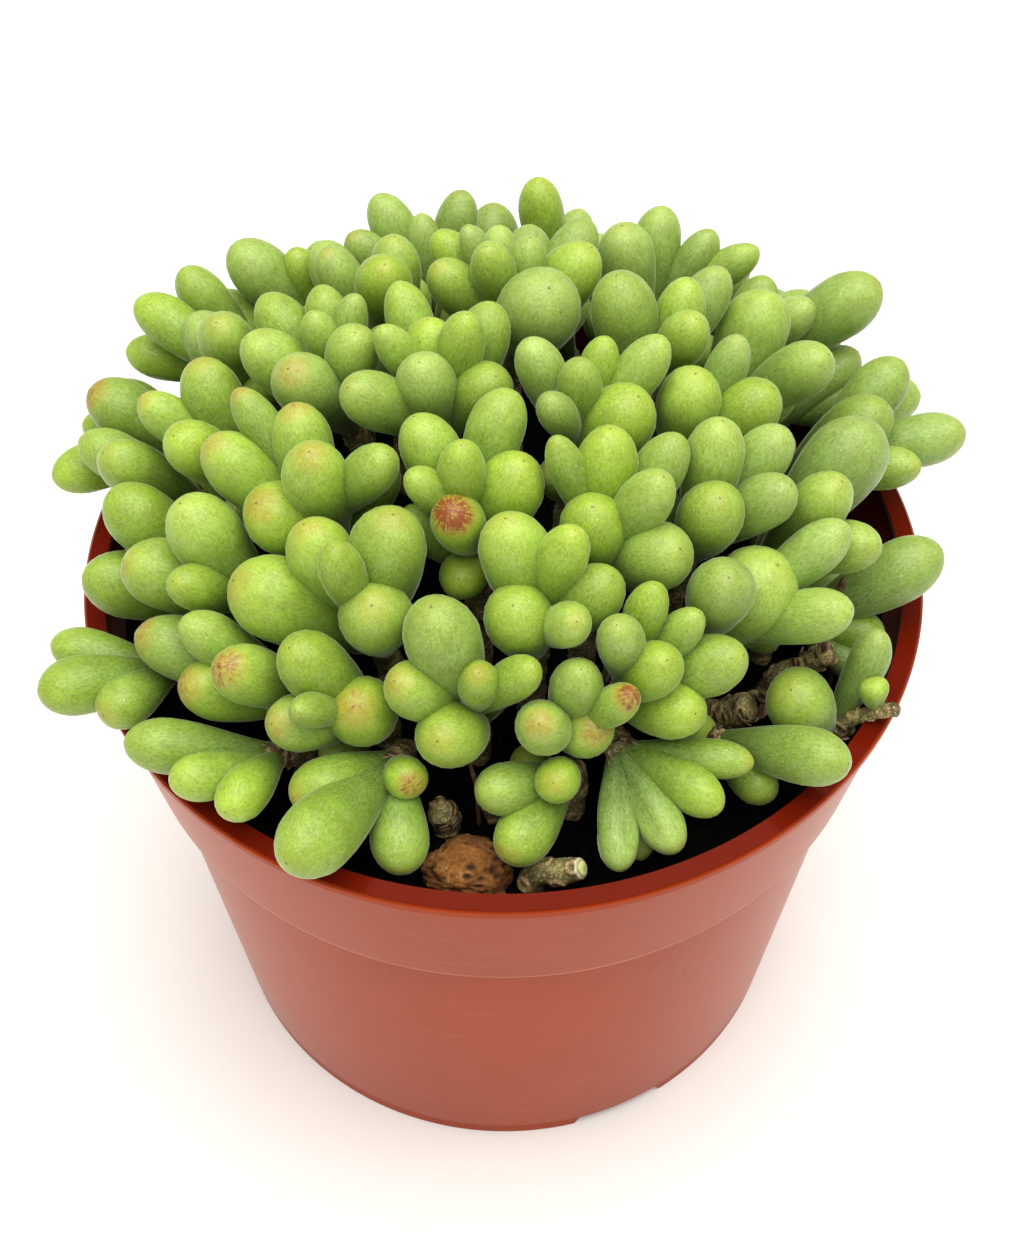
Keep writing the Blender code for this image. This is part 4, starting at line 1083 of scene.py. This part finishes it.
blush = BLUSH[0] + BLUSH[1] * leaf_draw.uniform(0, 1, len(tips)) ** BLUSH_POWER
sunned = ((SUN_FROM - tips[:, :2]) / SUN_RANGE).clip(0, 1).sum(axis=1).clip(0, MOST_SUN)
blush = blush * (SUN_SHARE[0] + SUN_SHARE[1] * sunned)
for spot, strength in RUDDY_SPOTS:
    blush[nearest_leaf(spot)] = strength
glaucous = GLAUCOUS[0] + GLAUCOUS[1] * leaf_draw.normal(size=len(tips))
glaucous = np.clip(glaucous + GLAUCOUS_SLOPE * (tips[:, 1] + tips[:, 0]), 0, 1)
lightness = leaf_draw.uniform(*LIGHTNESS, len(tips))
shrivel = np.zeros(len(tips))
shrivelled = [nearest_leaf(spot) for spot in SHRIVELLED_SPOTS]
shrivel[shrivelled] = 1.0
glaucous[shrivelled] = 1.0
tones = np.stack([glaucous, blush, lightness, np.ones(len(tips))], -1)
print("leaves with red tips", int((blush > 0.3).sum()))

# %% Leaves in the scene
for k, node in enumerate(leafy_nodes):
    own = np.flatnonzero(shoot == k)
    rows = [values[own] for values in (roots, tips, widths, shrivel, tones)]
    leaf_piece(f"leaves_{k + 1:02d}", *rows, [node])
print("leaf pieces", len(leafy_nodes))

# %% [markdown]
# ## Stem bark
#
# The stems are old, soft wood. They are olive to brown, with round pale-rimmed scars where leaves
# have dropped, in the same golden-angle spiral in which leaves grow, and with fine dark cracks, pale
# specks and black dots between them. The cracks are the edges of small cells, bent by the mottle.

# %% Stem bark
BARK_CLOUDS = (3.8 * MM, 5.0, 0.7)
BARK_TINTS = ((0.30, "#40331e"), (0.45, "#6b6038"), (0.58, "#908a52"), (0.75, "#b8a66c"))
RIM_RANGE = (0.05, 0.5)
RIM_STRENGTH = 0.7
RIM_TINT = "#b99b6a"
CRACK_MESH = 0.9
CRACK_BEND = 0.8
CRACK_LINE = 0.14
CRACK_STRENGTH = 0.7
CRACK_TINT = "#2e2214"
CUT_SEEN = 0.02
CUT_TINTS = ((0.0, "#cbc3a0"), (0.5, "#8f8a5a"), (0.7, "#d3cf8c"), (1.0, "#93ab4e"))
BARK_RELIEF = (0.6, 0.5)
BARK_ROUGHNESS = 0.82
# Specks: millimetres between them, inner and outer radius in that unit, strength, and colour
BARK_SPECKS = ((0.77, 0.12, 0.22, 0.8, "#cfc9b4"), (1.1, 0.10, 0.18, 0.85, "#241a12"))


def stem_bark():
    """Mottled olive and brown, pale on the scars' rims, and green where the tip has broken off."""
    made, tree, shader = blank_material("scarred_old_stem")
    place = add(tree, "TexCoord").outputs["Object"]
    cut = attribute(tree, "cut")
    cloud = noise(tree, place, *BARK_CLOUDS)["Fac"]
    rimmed = rescale(tree, attribute(tree, "scar"), *RIM_RANGE, 0.0, RIM_STRENGTH)
    bent = mix(tree, CRACK_BEND * MM, place, cloud, "ADD")
    crack = cells(tree, bent, CRACK_MESH * MM, "DISTANCE_TO_EDGE")
    cracked = rescale(tree, crack, 0.0, CRACK_LINE, CRACK_STRENGTH, 0.0)
    tint = mix(tree, rimmed, ramp(tree, cloud, BARK_TINTS), RIM_TINT)
    tint = speckled(tree, mix(tree, cracked, tint, CRACK_TINT), place, MM, BARK_SPECKS)
    tint = mix(tree, compute(tree, "GREATER_THAN", cut, CUT_SEEN), tint, ramp(tree, cut, CUT_TINTS))
    relief = bump(tree, cloud, *BARK_RELIEF)
    feed(tree, shader, {"Base Color": tint, "Normal": relief, "Roughness": BARK_ROUGHNESS})
    return made


bark = stem_bark()
print("cracks of the bark", CRACK_MESH, "mm apart")

# %% Stem outline and leaf scars
SCAR_STEP = 1.9
SCAR_RIM = 1.0
SCAR_RIM_WIDTH = 0.32
SCAR_STRETCH = 0.8


def smooth_path(path, count):
    """More points on a stem's path, by a cubic through its points (Catmull-Rom)."""
    padded = np.vstack([2 * path[0] - path[1], path, 2 * path[-1] - path[-2]])
    t = np.linspace(0, len(path) - 1, count)
    k = np.minimum(t.astype(int), len(path) - 2)
    u = (t - k)[:, None]
    a, b, c, d = (padded[k + n] for n in range(4))
    return 0.5 * (2 * b + (c - a) * u + (2 * a - 5 * b + 4 * c - d) * u ** 2
                  + (3 * b - a - 3 * c + d) * u ** 3)


def scar_rims(along, angle, radius):
    """How much each point is on a scar's rim: 1 where the scar's middle is the rim's radius away.

    The scars follow the leaves' spiral, one every golden angle.
    """
    scars = np.arange(int(along[-1] / SCAR_STEP) + 1)
    turn = (angle[None, :, None] - scars * GOLDEN_ANGLE + np.pi) % (2 * np.pi) - np.pi
    far = np.hypot(along[:, None, None] - scars * SCAR_STEP, radius * turn * SCAR_STRETCH)
    return np.exp(-((far - SCAR_RIM) / SCAR_RIM_WIDTH) ** 2).max(axis=2)


print("scars", SCAR_STEP, "mm apart")

# %% A stem as a piece
SCAR_RELIEF = 0.38
SCAR_LEVEL = 0.35
SWELLS_PER_MM = 0.9
STEM_END = 1.2
CUT_DEPTH = 0.7


def stem_piece(name, path, radius, grid, nodes=(), broken=False):
    """A stem as a piece, with values for scar rims and for a fresh break.

    The grid gives its rings, sides and how much it swells. A point's height is the stem's radius, a
    slow swelling along it, and the scars' rims. The end is rounded by a circle's outline.
    """
    rings, sides, swell = grid
    points = smooth_path(np.array(path), rings)
    along = lengths_along(points)
    way = normalized(np.gradient(points, axis=0))
    side, _ = turned_frames(np.broadcast_to(way[len(way) // 2], way.shape))
    side = normalized(side - way * (side * way).sum(axis=1, keepdims=True))
    angle = circle(sides)
    rim = scar_rims(along, angle, radius)
    taper = np.interp(along, [0, along[-1]], [1.0, STEM_TAPER])
    end = np.sqrt(np.clip(1 - ((along - along[-1]) / STEM_END + 1).clip(0) ** 2, 0, 1))
    size = radius * (taper * (1 + swell * np.sin(SWELLS_PER_MM * along)))[:, None]
    size = (size + SCAR_RELIEF * (rim - SCAR_LEVEL)) * end[:, None]
    around = toward(side[:, None], np.cross(way, side)[:, None], angle)
    cut = broken * np.clip((along - along[-1]) / CUT_DEPTH + 1, 0, 1)
    values = {"scar": rim[..., None], "cut": cut[:, None, None]}
    piece(name, bark, (points[:, None] + around * size[..., None])[None], values, nodes)


# %% Stems in the scene
# Grids: rings, sides and how much the stem swells
LEAFY_GRID = (70, 24, 0.03)
OLD_GRID = (90, 40, 0.06)
BROKEN_STEM = 1
for k, node in enumerate(leafy_nodes):
    stem_piece(f"stem_{k + 1:02d}", paths[k], STEM_RADIUS, LEAFY_GRID, [node])
for k, node in enumerate(bare_nodes):
    radius = BARE_STEMS[k][2]
    stem_piece(f"old_stem_{k + 1}", bare_paths[k], radius, OLD_GRID, [node], k == BROKEN_STEM)
print("stems", len(leafy_nodes) + len(bare_nodes))

# %% [markdown]
# ## Papery scales and dry twigs
#
# Where a leaf has dropped, its base dries to a small papery scale. The scales crowd round each
# stem's tip. A scale is a flat little cone that leans out from the stem. A few dry twigs and dead
# flower stalks are left among the stems: thin tubes along a bent path, each with small knots. One
# side branch at the right ends in a bud.

# %% Dry brown scale, pale as paper at its rim
SCALE_CLOUDS = (1.4 * MM, 4.0, 0.7)
SCALE_TINTS = ((0.30, "#2a1a10"), (0.47, "#553722"), (0.62, "#6f5a38"), (0.78, "#8f8656"))
SCALE_RELIEF = (0.5, 0.4)
DULL = {"Roughness": 0.75}
PAPER_RIM = ("rim", 0.55, 1.0, 0.6, "#c9b488")
dry_scale = mottled("dry_papery_scale", SCALE_CLOUDS, SCALE_TINTS, SCALE_RELIEF, DULL, [PAPER_RIM])
print("scale tints", len(SCALE_TINTS))

# %% Scales round each stem's tip
SCALES = 36
SCALE_RUN = (8.0, 0.96)
SCALE_LENGTH = 1.9
SCALE_WIDTH = 2.3
SCALE_THICKNESS = 0.45
SCALE_LEAN = 0.34
SCALE_FOOT = 0.78
SCALE_GRID = 6
SCALE_PATH = 60
LAST_STRETCH = 8
SCALE_TURN = 0.5
SCALE_LEANS = (0.2, 2.2)
SCALE_SIZES = (0.5, 1.25)
BARE_SCALES = (36, 0, 24, 24, 24)
scale_draw = np.random.default_rng(SEED + 6)


def scale_piece(name, path, radius, count):
    """Scales in the leaves' spiral, as on a cone, each a cone of rings flattened to the stem."""
    points = smooth_path(path, SCALE_PATH)
    along = lengths_along(points)
    middle = on_path(along[-1] - np.linspace(*SCALE_RUN, count), along, points)
    way = unit(points[-1] - points[-LAST_STRETCH])
    side, up = turned_frames(way)
    turn = np.arange(count) * GOLDEN_ANGLE + scale_draw.uniform(-SCALE_TURN, SCALE_TURN, count)
    out = toward(side, up, turn)
    run = normalized(way + SCALE_LEAN * out * scale_draw.uniform(*SCALE_LEANS, (count, 1)))
    wide = (np.cross(run, out) * SCALE_WIDTH / 2)[:, None, None]
    thick = (out * SCALE_THICKNESS / 2)[:, None, None]
    size = scale_draw.uniform(*SCALE_SIZES, (count, 1, 1, 1))
    t = np.linspace(0, 1, SCALE_GRID)[:, None, None]
    girth = np.sin(np.pi * np.clip(t * 0.8 + 0.2, 0, 1)) ** 0.6
    start = (middle + out * radius * SCALE_FOOT)[:, None, None]
    across = toward(wide, thick, circle(SCALE_GRID)) * girth
    rings = start + (run[:, None, None] * SCALE_LENGTH * t + across) * size
    piece(name, dry_scale, rings, {"rim": t}, smooth=False)


for k, path in enumerate(paths):
    scale_piece(f"scales_{k + 1:02d}", path, STEM_RADIUS, SCALES)
for k in np.flatnonzero(BARE_SCALES):
    scale_piece(f"old_scales_{k + 1}", bare_paths[k], BARE_STEMS[k][2], BARE_SCALES[k])
print("scales", SCALES * len(paths) + sum(BARE_SCALES))

# %% Dry twigs
TWIG_POINTS = 44
TWIG_SIDES = 8
KNOT = 0.35
KNOT_TURNS = 24
# Twigs: name, radius and path
TWIGS = (
    ("dry_twig", 0.45, ((58, -16, 124), (57, -18, 117), (58.5, -20, 110), (57, -23, 101))),
    ("dead_flower_stalk", 0.35, ((-7, -45, 126), (-6.5, -47, 118), (-5, -49.5, 111), (-4.5, -51, 101))),
    ("fallen_stalk", 0.5, ((46, -22, 121), (52, -19, 119), (60, -14, 121), (66, -10, 120))),
)


def twig_rings(path, radius):
    """A thin tube, thicker at knots every few millimetres, its thickness a sine along it."""
    points = smooth_path(np.array(path, float), TWIG_POINTS)
    side, up = turned_frames(normalized(np.gradient(points, axis=0)))
    size = radius * (1 + KNOT * np.sin(np.linspace(0, KNOT_TURNS, len(points))) ** 8)
    around = toward(side[:, None], up[:, None], circle(TWIG_SIDES))
    return (points[:, None] + around * size[:, None, None])[None]


for name, radius, path in TWIGS:
    piece(name, dry_scale, twig_rings(path, radius))
print("twigs", len(TWIGS))

# %% Side branch with a bud
BRANCH = ((57.0, -36.0, 109.0), (59.5, -36.8, 112.0), (62.0, -37.8, 114.6), (65.5, -39.0, 117.0))
BRANCH_RADIUS = 1.5
BRANCH_GRID = (60, 24, 0.05)
# The bud as a list of one leaf: root, tip, width, folds and tone
BUD = ([(62.2, -37.6, 114.6)], [(61.2, -36.6, 121.6)], [5.0], [0.0], [(0.2, 0.1, 0.9, 1.0)])
stem_piece("side_branch", BRANCH, BRANCH_RADIUS, BRANCH_GRID)
leaf_piece("bud_leaf", *map(np.array, BUD))
print("branch", 2 * BRANCH_RADIUS, "mm thick")

# %% [markdown]
# ## The pot
#
# The pot is injection-moulded polypropylene, brick red, with a satin skin. The profile is turned
# round the axis with enough sides to look round, and each corner gets a small bevel, because a
# moulded edge is never sharp and the bright line on the lip comes from it. The foot ring has three
# low notches that let air and water under the base, and the base has six drain holes.

# %% Pot sizes
LIP_THICKNESS = 1.6
LIP_ROUNDING = 0.5
LIP_FILLET = 1.5
BAND_TOP_RADIUS = 74.2
BAND_FOOT_RADIUS = 69.6
BAND_HEIGHT = 30.0
BAND_FOOT = POT_HEIGHT - BAND_HEIGHT
BAND_STEP = 2.2
CORNER = 0.4
FOOT_RADIUS = 59.0
WALL = 1.3
BASE_HEIGHT = 3.0
BASE_THICKNESS = 1.6
BASE_TOP = BASE_HEIGHT + BASE_THICKNESS
FOOT_RING_WIDTH = 2.4
FOOT_RING_STEP = 0.4
NOTCH_WIDTH = 19.0
NOTCH_HEIGHT = 2.2
NOTCH_BEARINGS = (23.0, 143.0, 263.0)
DRAIN_RADIUS = 4.5
DRAIN_CIRCLE = 38.0
DRAINS = 6


def inner_wall(height):
    """Radius and height of a point on the pot's inner wall."""
    heights = (BASE_HEIGHT, BAND_FOOT, POT_HEIGHT)
    radii = (FOOT_RADIUS, BAND_FOOT_RADIUS - BAND_STEP, BAND_TOP_RADIUS)
    return float(np.interp(height, heights, radii)) - WALL, height


# %% Colour of the pot
POT_CLOUDS = (36.0 * MM, 4.0)
POT_RED = ((0.3, "#953816"), (0.7, "#9d3e1b"))
# The lip and the inside: partly the plastic's own red with less haze, and partly painted shade from the
# leaves above and the bore
LIP_RED_WITH_PAINTED_SHADE = "#5e1305"
# Painted highlight: a pale line on the band's lower edge, where the moulded edge would catch the light
EDGE_HIGHLIGHT_TINT = "#dba48e"
# The painted highlight along the band's lower edge: its height, and how far from it the line reaches
EDGE_HIGHLIGHT_BAND = ((BAND_FOOT + CORNER) * MM, 0.3 * MM)
SCUFF_SIZES = (17.0, 17.0, 1.4)
SCUFFS = (1.0, 6.0, 0.7)
SCUFF_RANGE = (0.60, 0.78)
SCUFF_STRENGTH = 0.25
SCUFF_TINT = "#c88471"


def pot_colour(tree, place, cloud, inside):
    """Brick red with flat scuffs, a painted highlight line on the band's edge, and a darker red on the lip
    and inside that is partly painted shade.
    """
    stretch = [1 / (size * MM) for size in SCUFF_SIZES]
    flow = add(tree, "Mapping", {"Vector": place, "Scale": stretch}).outputs["Vector"]
    worn = rescale(tree, noise(tree, flow, *SCUFFS)["Fac"], *SCUFF_RANGE, 0.0, SCUFF_STRENGTH)
    height = add(tree, "SeparateXYZ", {"Vector": place}).outputs["Z"]
    # Painted highlight along the band's lower edge, broken up by the clouds
    painted_highlight = compute(tree, "MULTIPLY", compute(tree, "COMPARE", height, *EDGE_HIGHLIGHT_BAND), cloud)
    tint = mix(tree, worn, ramp(tree, cloud, POT_RED), SCUFF_TINT)
    # The lip and the inside take the darker red, which is partly painted shade
    return mix(tree, inside, mix(tree, painted_highlight, tint, EDGE_HIGHLIGHT_TINT), LIP_RED_WITH_PAINTED_SHADE)


print("scuffs", SCUFF_SIZES[0], "mm long")

# %% Moulded polypropylene
MOULD_GRAIN = (1.1 * MM, 2.0)
GRAIN_RELIEF = (0.05, 0.3)
SATIN = (0.24, 0.34)
LIP_SATIN = 0.18
PLASTIC = {
    "IOR": 1.47, "Specular IOR Level": 0.09, "Specular Tint": "#f0a98c",
    "Sheen Weight": 0.11, "Sheen Roughness": 0.35, "Sheen Tint": "#ffe2d2",
}


def moulded_plastic():
    """Satin outside, glossier on the lip, with a warm gloss and the haze of fine dust."""
    made, tree, shader = blank_material("brick_red_moulded_polypropylene")
    place = add(tree, "TexCoord").outputs["Object"]
    inside = attribute(tree, "inner_side")
    cloud = noise(tree, place, *POT_CLOUDS)["Fac"]
    grain = noise(tree, place, *MOULD_GRAIN)["Fac"]
    satin = rescale(tree, cloud, 0.0, 1.0, *SATIN)
    feed(tree, shader, {
        "Base Color": pot_colour(tree, place, cloud, inside),
        "Roughness": rescale(tree, inside, 0.0, 1.0, satin, LIP_SATIN),
        "Normal": bump(tree, grain, *GRAIN_RELIEF),
        **PLASTIC,
    })
    return made


plastic = moulded_plastic()

# %% Pot surface
POT_ROUND = 320
LIP_RING = 11
NOTCHED_RINGS = slice(2, 4)
lip_foot = POT_HEIGHT - LIP_THICKNESS
ring_outside = FOOT_RADIUS - FOOT_RING_STEP
ring_inside = ring_outside - FOOT_RING_WIDTH
# The profile from the middle of the underside, up the outside, and down the bore to its floor
POT_PROFILE = (
    (0.0, BASE_HEIGHT), (ring_inside, BASE_HEIGHT), (ring_inside, 0.0), (ring_outside, 0.0),
    (ring_outside, BASE_HEIGHT), (FOOT_RADIUS, BASE_HEIGHT + CORNER),
    (BAND_FOOT_RADIUS - BAND_STEP, BAND_FOOT - CORNER), (BAND_FOOT_RADIUS, BAND_FOOT + CORNER),
    (BAND_TOP_RADIUS, lip_foot - CORNER), (RIM_RADIUS, lip_foot),
    (RIM_RADIUS, POT_HEIGHT - LIP_ROUNDING), (RIM_RADIUS - LIP_ROUNDING, POT_HEIGHT),
    (RIM_RADIUS - LIP_WIDTH, POT_HEIGHT), (RIM_RADIUS - LIP_WIDTH, lip_foot),
    inner_wall(lip_foot - LIP_FILLET), inner_wall(BAND_FOOT), inner_wall(BASE_TOP),
    (0.0, BASE_TOP),
)

angle = circle(POT_ROUND)
radius, height = np.array(POT_PROFILE).T[..., None]
height = np.repeat(height, POT_ROUND, axis=1)
for bearing in NOTCH_BEARINGS:
    off = (angle - math.radians(bearing - 90) + np.pi) % (2 * np.pi) - np.pi
    notched = np.abs(off) * ring_outside < NOTCH_WIDTH / 2
    height[NOTCHED_RINGS] = np.where(notched, NOTCH_HEIGHT, height[NOTCHED_RINGS])
inner_side = (np.arange(len(height)) >= LIP_RING).astype(float)[:, None, None]
rings = stacked(radius * np.cos(angle), radius * np.sin(angle), height)[None]
pot = piece("pot_shell", plastic, rings, {"inner_side": inner_side}, ["pot"])
print("pot profile turned in", POT_ROUND, "steps")

# %% Drain holes
DRILL_SIDES = 40


def drill(number):
    """An upright cylinder through the base, on the circle of the drain holes."""
    turn = math.tau * (number + 0.5) / DRAINS
    flat_middle = (DRAIN_CIRCLE * math.cos(turn), DRAIN_CIRCLE * math.sin(turn))
    middle = Vector(to_metres((*flat_middle, BASE_HEIGHT + BASE_THICKNESS / 2)))
    mesh = bpy.data.meshes.new(f"drill_{number + 1}")
    shape = bmesh.new()
    bmesh.ops.create_cone(shape, cap_ends=True, segments=DRILL_SIDES, radius1=DRAIN_RADIUS * MM,
                          radius2=DRAIN_RADIUS * MM, depth=4 * BASE_THICKNESS * MM)
    bmesh.ops.translate(shape, verts=shape.verts, vec=middle)
    shape.to_mesh(mesh)
    shape.free()
    return bpy.data.objects.new(f"drill_{number + 1}", mesh)


drills = bpy.data.collections.new("drain_drills")
bpy.context.scene.collection.children.link(drills)
for k in range(DRAINS):
    drills.objects.link(drill(k))
cutting = pot.modifiers.new("Drains", "BOOLEAN")
cutting.operation = "DIFFERENCE"
cutting.operand_type = "COLLECTION"
cutting.collection = drills
graph = bpy.context.evaluated_depsgraph_get()
pot.data = bpy.data.meshes.new_from_object(pot.evaluated_get(graph))
pot.modifiers.clear()
for tool in list(drills.objects):
    bpy.data.objects.remove(tool, do_unlink=True)
bpy.data.collections.remove(drills)
print("drain holes", DRAINS, "of", 2 * DRAIN_RADIUS, "mm")

# %% Moulded edges
EDGE_ROUNDING = 0.25
BEVELLED_FROM = 35
SHARP_FROM = 30
rounding = pot.modifiers.new("Moulded_edges", "BEVEL")
rounding.width = EDGE_ROUNDING * MM
rounding.segments = 2
rounding.limit_method = "ANGLE"
rounding.angle_limit = math.radians(BEVELLED_FROM)
pot.data.set_sharp_from_angle(angle=math.radians(SHARP_FROM))
print("pot faces", len(pot.data.polygons))

# %% [markdown]
# ## Soil
#
# The potting soil is nearly black and loose. A polar grid over the pot's bore is lifted by sums of
# waves for the low bumps. Crumbs, small lumps with few faces each, lie all over it.

# %% Waves for rough surfaces
WAVES_EACH = 7
WAVE_GAIN = 1.6


def ripples(points, sizes, heights, seed):
    """Rough relief: for each size, several sine waves in random directions are added up."""
    draw = np.random.default_rng(seed)
    total = np.zeros(points.shape[:-1])
    for size, height in zip(sizes, heights):
        for _ in range(WAVES_EACH):
            way = draw.normal(size=points.shape[-1])
            way *= 2 * np.pi / size / np.linalg.norm(way)
            total += height / WAVES_EACH * WAVE_GAIN * np.sin(points @ way + draw.uniform(0, 2 * np.pi))
    return total


# %% Potting soil: nearly black peat with brown fibres
SOIL_CLOUDS = (2.4 * MM, 6.0, 0.75)
SOIL_TINTS = ((0.40, "#020202"), (0.60, "#050404"), (0.82, "#1f1a15"))
SOIL_RELIEF = (0.9, 1.0)
PEAT = {"Roughness": 0.95, "Specular IOR Level": 0.1}
potting_soil = mottled("dark_potting_soil", SOIL_CLOUDS, SOIL_TINTS, SOIL_RELIEF, PEAT)
print("soil tints", len(SOIL_TINTS))

# %% Soil bed
SOIL_GAP = 0.5
SOIL_BUMP = 0.9
SOIL_WAVES = ((0.21, 0.08, 1.3), (-0.12, 0.33, 0.4), (0.17, -0.24, 2.2))
SOIL_ROUND = 200
SOIL_RINGS = 70
LUMP_SIZES = (9.0, 4.5, 2.2)
LUMP_HEIGHTS = (0.5, 0.35, 0.25)


def soil_height(x, y):
    """The soil's low bumps and hollows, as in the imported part, with finer lumps added."""
    waves = [np.sin(across * x + along * y + phase) for across, along, phase in SOIL_WAVES]
    lumps = ripples(np.stack([x, y], -1), LUMP_SIZES, LUMP_HEIGHTS, SEED + 2)
    return SOIL_TOP + SOIL_BUMP * sum(waves) / len(waves) + lumps


def soil_rings():
    """From the middle of the base out, up the bore, and over the bumpy top to its middle."""
    bottom = BASE_TOP + SOIL_GAP
    walls = [inner_wall(height)[0] - SOIL_GAP for height in (bottom, BAND_FOOT, SOIL_TOP)]
    radius = np.concatenate([[0, *walls[:2]], np.linspace(walls[2], 0, SOIL_RINGS)])[:, None]
    x, y = radius * np.cos(circle(SOIL_ROUND)), radius * np.sin(circle(SOIL_ROUND))
    z = np.zeros_like(x)
    z[:3] = np.array([bottom, bottom, BAND_FOOT])[:, None]
    z[3:] = soil_height(x[3:], y[3:])
    return np.stack([x, y, z], -1)[None]


piece("soil_bed", potting_soil, soil_rings(), nodes=["soil"])
print("soil lumps up to", sum(LUMP_HEIGHTS), "mm high")

# %% Soil crumbs
CRUMBS = 1700
CRUMB_SIZES = (0.5, 1.9)
CRUMB_REACH = 67.5
CRUMB_GRID = (6, 7)
SMALL_MORE_OFTEN = 2.5
CRUMB_ROUGH = (0.75, 1.2)
CRUMB_SQUASH = (0.6, 1.2)
CRUMB_LIFT = 0.25


def crumb_rings(count, sizes, reach, draw):
    """Small lumps on the soil: rings of a rough ball each, squashed and turned at random."""
    spot = reach * np.sqrt(draw.uniform(0, 1, count))
    bearing = draw.uniform(0, 2 * np.pi, count)
    x, y = spot * np.cos(bearing), spot * np.sin(bearing)
    size = draw.uniform(0, 1, count) ** SMALL_MORE_OFTEN * (sizes[1] - sizes[0]) + sizes[0]
    rough = draw.uniform(*CRUMB_ROUGH, (count, *CRUMB_GRID, 1))
    squash = draw.uniform(*CRUMB_SQUASH, (count, 1, 1, 3))
    middle = np.stack([x, y, soil_height(x, y) + CRUMB_LIFT * size], -1)[:, None, None]
    return middle + ball_points(*CRUMB_GRID) * rough * squash * size[:, None, None, None]


crumbs = crumb_rings(CRUMBS, CRUMB_SIZES, CRUMB_REACH, np.random.default_rng(SEED + 3))
piece("soil_crumbs", potting_soil, crumbs, smooth=False)
print("crumbs", CRUMBS)

# %% [markdown]
# ## The lava pebble
#
# The pebble is a lump of porous lava, orange-brown, with painted shade darkening its pits. Its form is
# the imported part's, a ball pushed in and out by waves, and a few hundred round pits are sunk in its
# skin.

# %% Porous lava, with painted shade in its pits
LAVA_CLOUDS = (2.4 * MM, 8.0, 0.8)
LAVA_TINTS = ((0.28, "#3d250d"), (0.42, "#7d4c19"), (0.56, "#a2692a"), (0.72, "#d0ab6c"))
LAVA_RELIEF = (1.0, 0.9)
STONY = {"Roughness": 0.9}
# Painted shade: the pits are darkened, standing in for the shade inside them
PAINTED_PIT_SHADE = ("pit", 0.0, 1.0, 1.0, "#3a220f")
lava = mottled("porous_lava", LAVA_CLOUDS, LAVA_TINTS, LAVA_RELIEF, STONY, [PAINTED_PIT_SHADE])
print("lava tints", len(LAVA_TINTS))

# %% Lava pebble
STONE_MIDDLE = np.array((-6.5, -60.5, 102.5))
STONE_REACH = np.array((7.6, 6.2, 5.2))
STONE_ROUGHNESS = 0.10
STONE_WAVES = ((3.1, 0.7), (3.7, 2.1), (3.3, 4.0))
STONE_GRID = (100, 160)
STONE_PITS = 260
PIT_SIZES = (0.03, 0.11)
PIT_DEPTH = 0.07
ROUGH_SIZES = (0.8, 0.4, 0.2, 0.1)
ROUGH_HEIGHTS = (0.055, 0.04, 0.028, 0.016)


def round_pits(ball, draw):
    """How deep each point of a ball lies in the nearest of many pits, 1 in the middle of the largest."""
    spots = normalized(draw.normal(size=(STONE_PITS, 3)))
    sizes = draw.uniform(*PIT_SIZES, STONE_PITS)
    pit = np.zeros(ball.shape[:2])
    for spot, size in zip(spots, sizes):
        far = np.linalg.norm(ball - spot, axis=2)
        pit = np.maximum(pit, size / PIT_SIZES[1] * np.exp(-(far / size) ** 4))
    return pit


ball = ball_points(*STONE_GRID)
pit = round_pits(ball, np.random.default_rng(SEED + 4))
lump = sum(np.sin(waves * ball[..., axis] + phase) for axis, (waves, phase) in enumerate(STONE_WAVES))
size = 1 + STONE_ROUGHNESS * lump / 2 + ripples(ball, ROUGH_SIZES, ROUGH_HEIGHTS, SEED + 5)
rings = STONE_MIDDLE + ball * (size - PIT_DEPTH * pit)[..., None] * STONE_REACH
piece("lava_pebble", lava, rings[None], {"pit": pit[..., None]}, ["stone"])
print("pits", STONE_PITS)
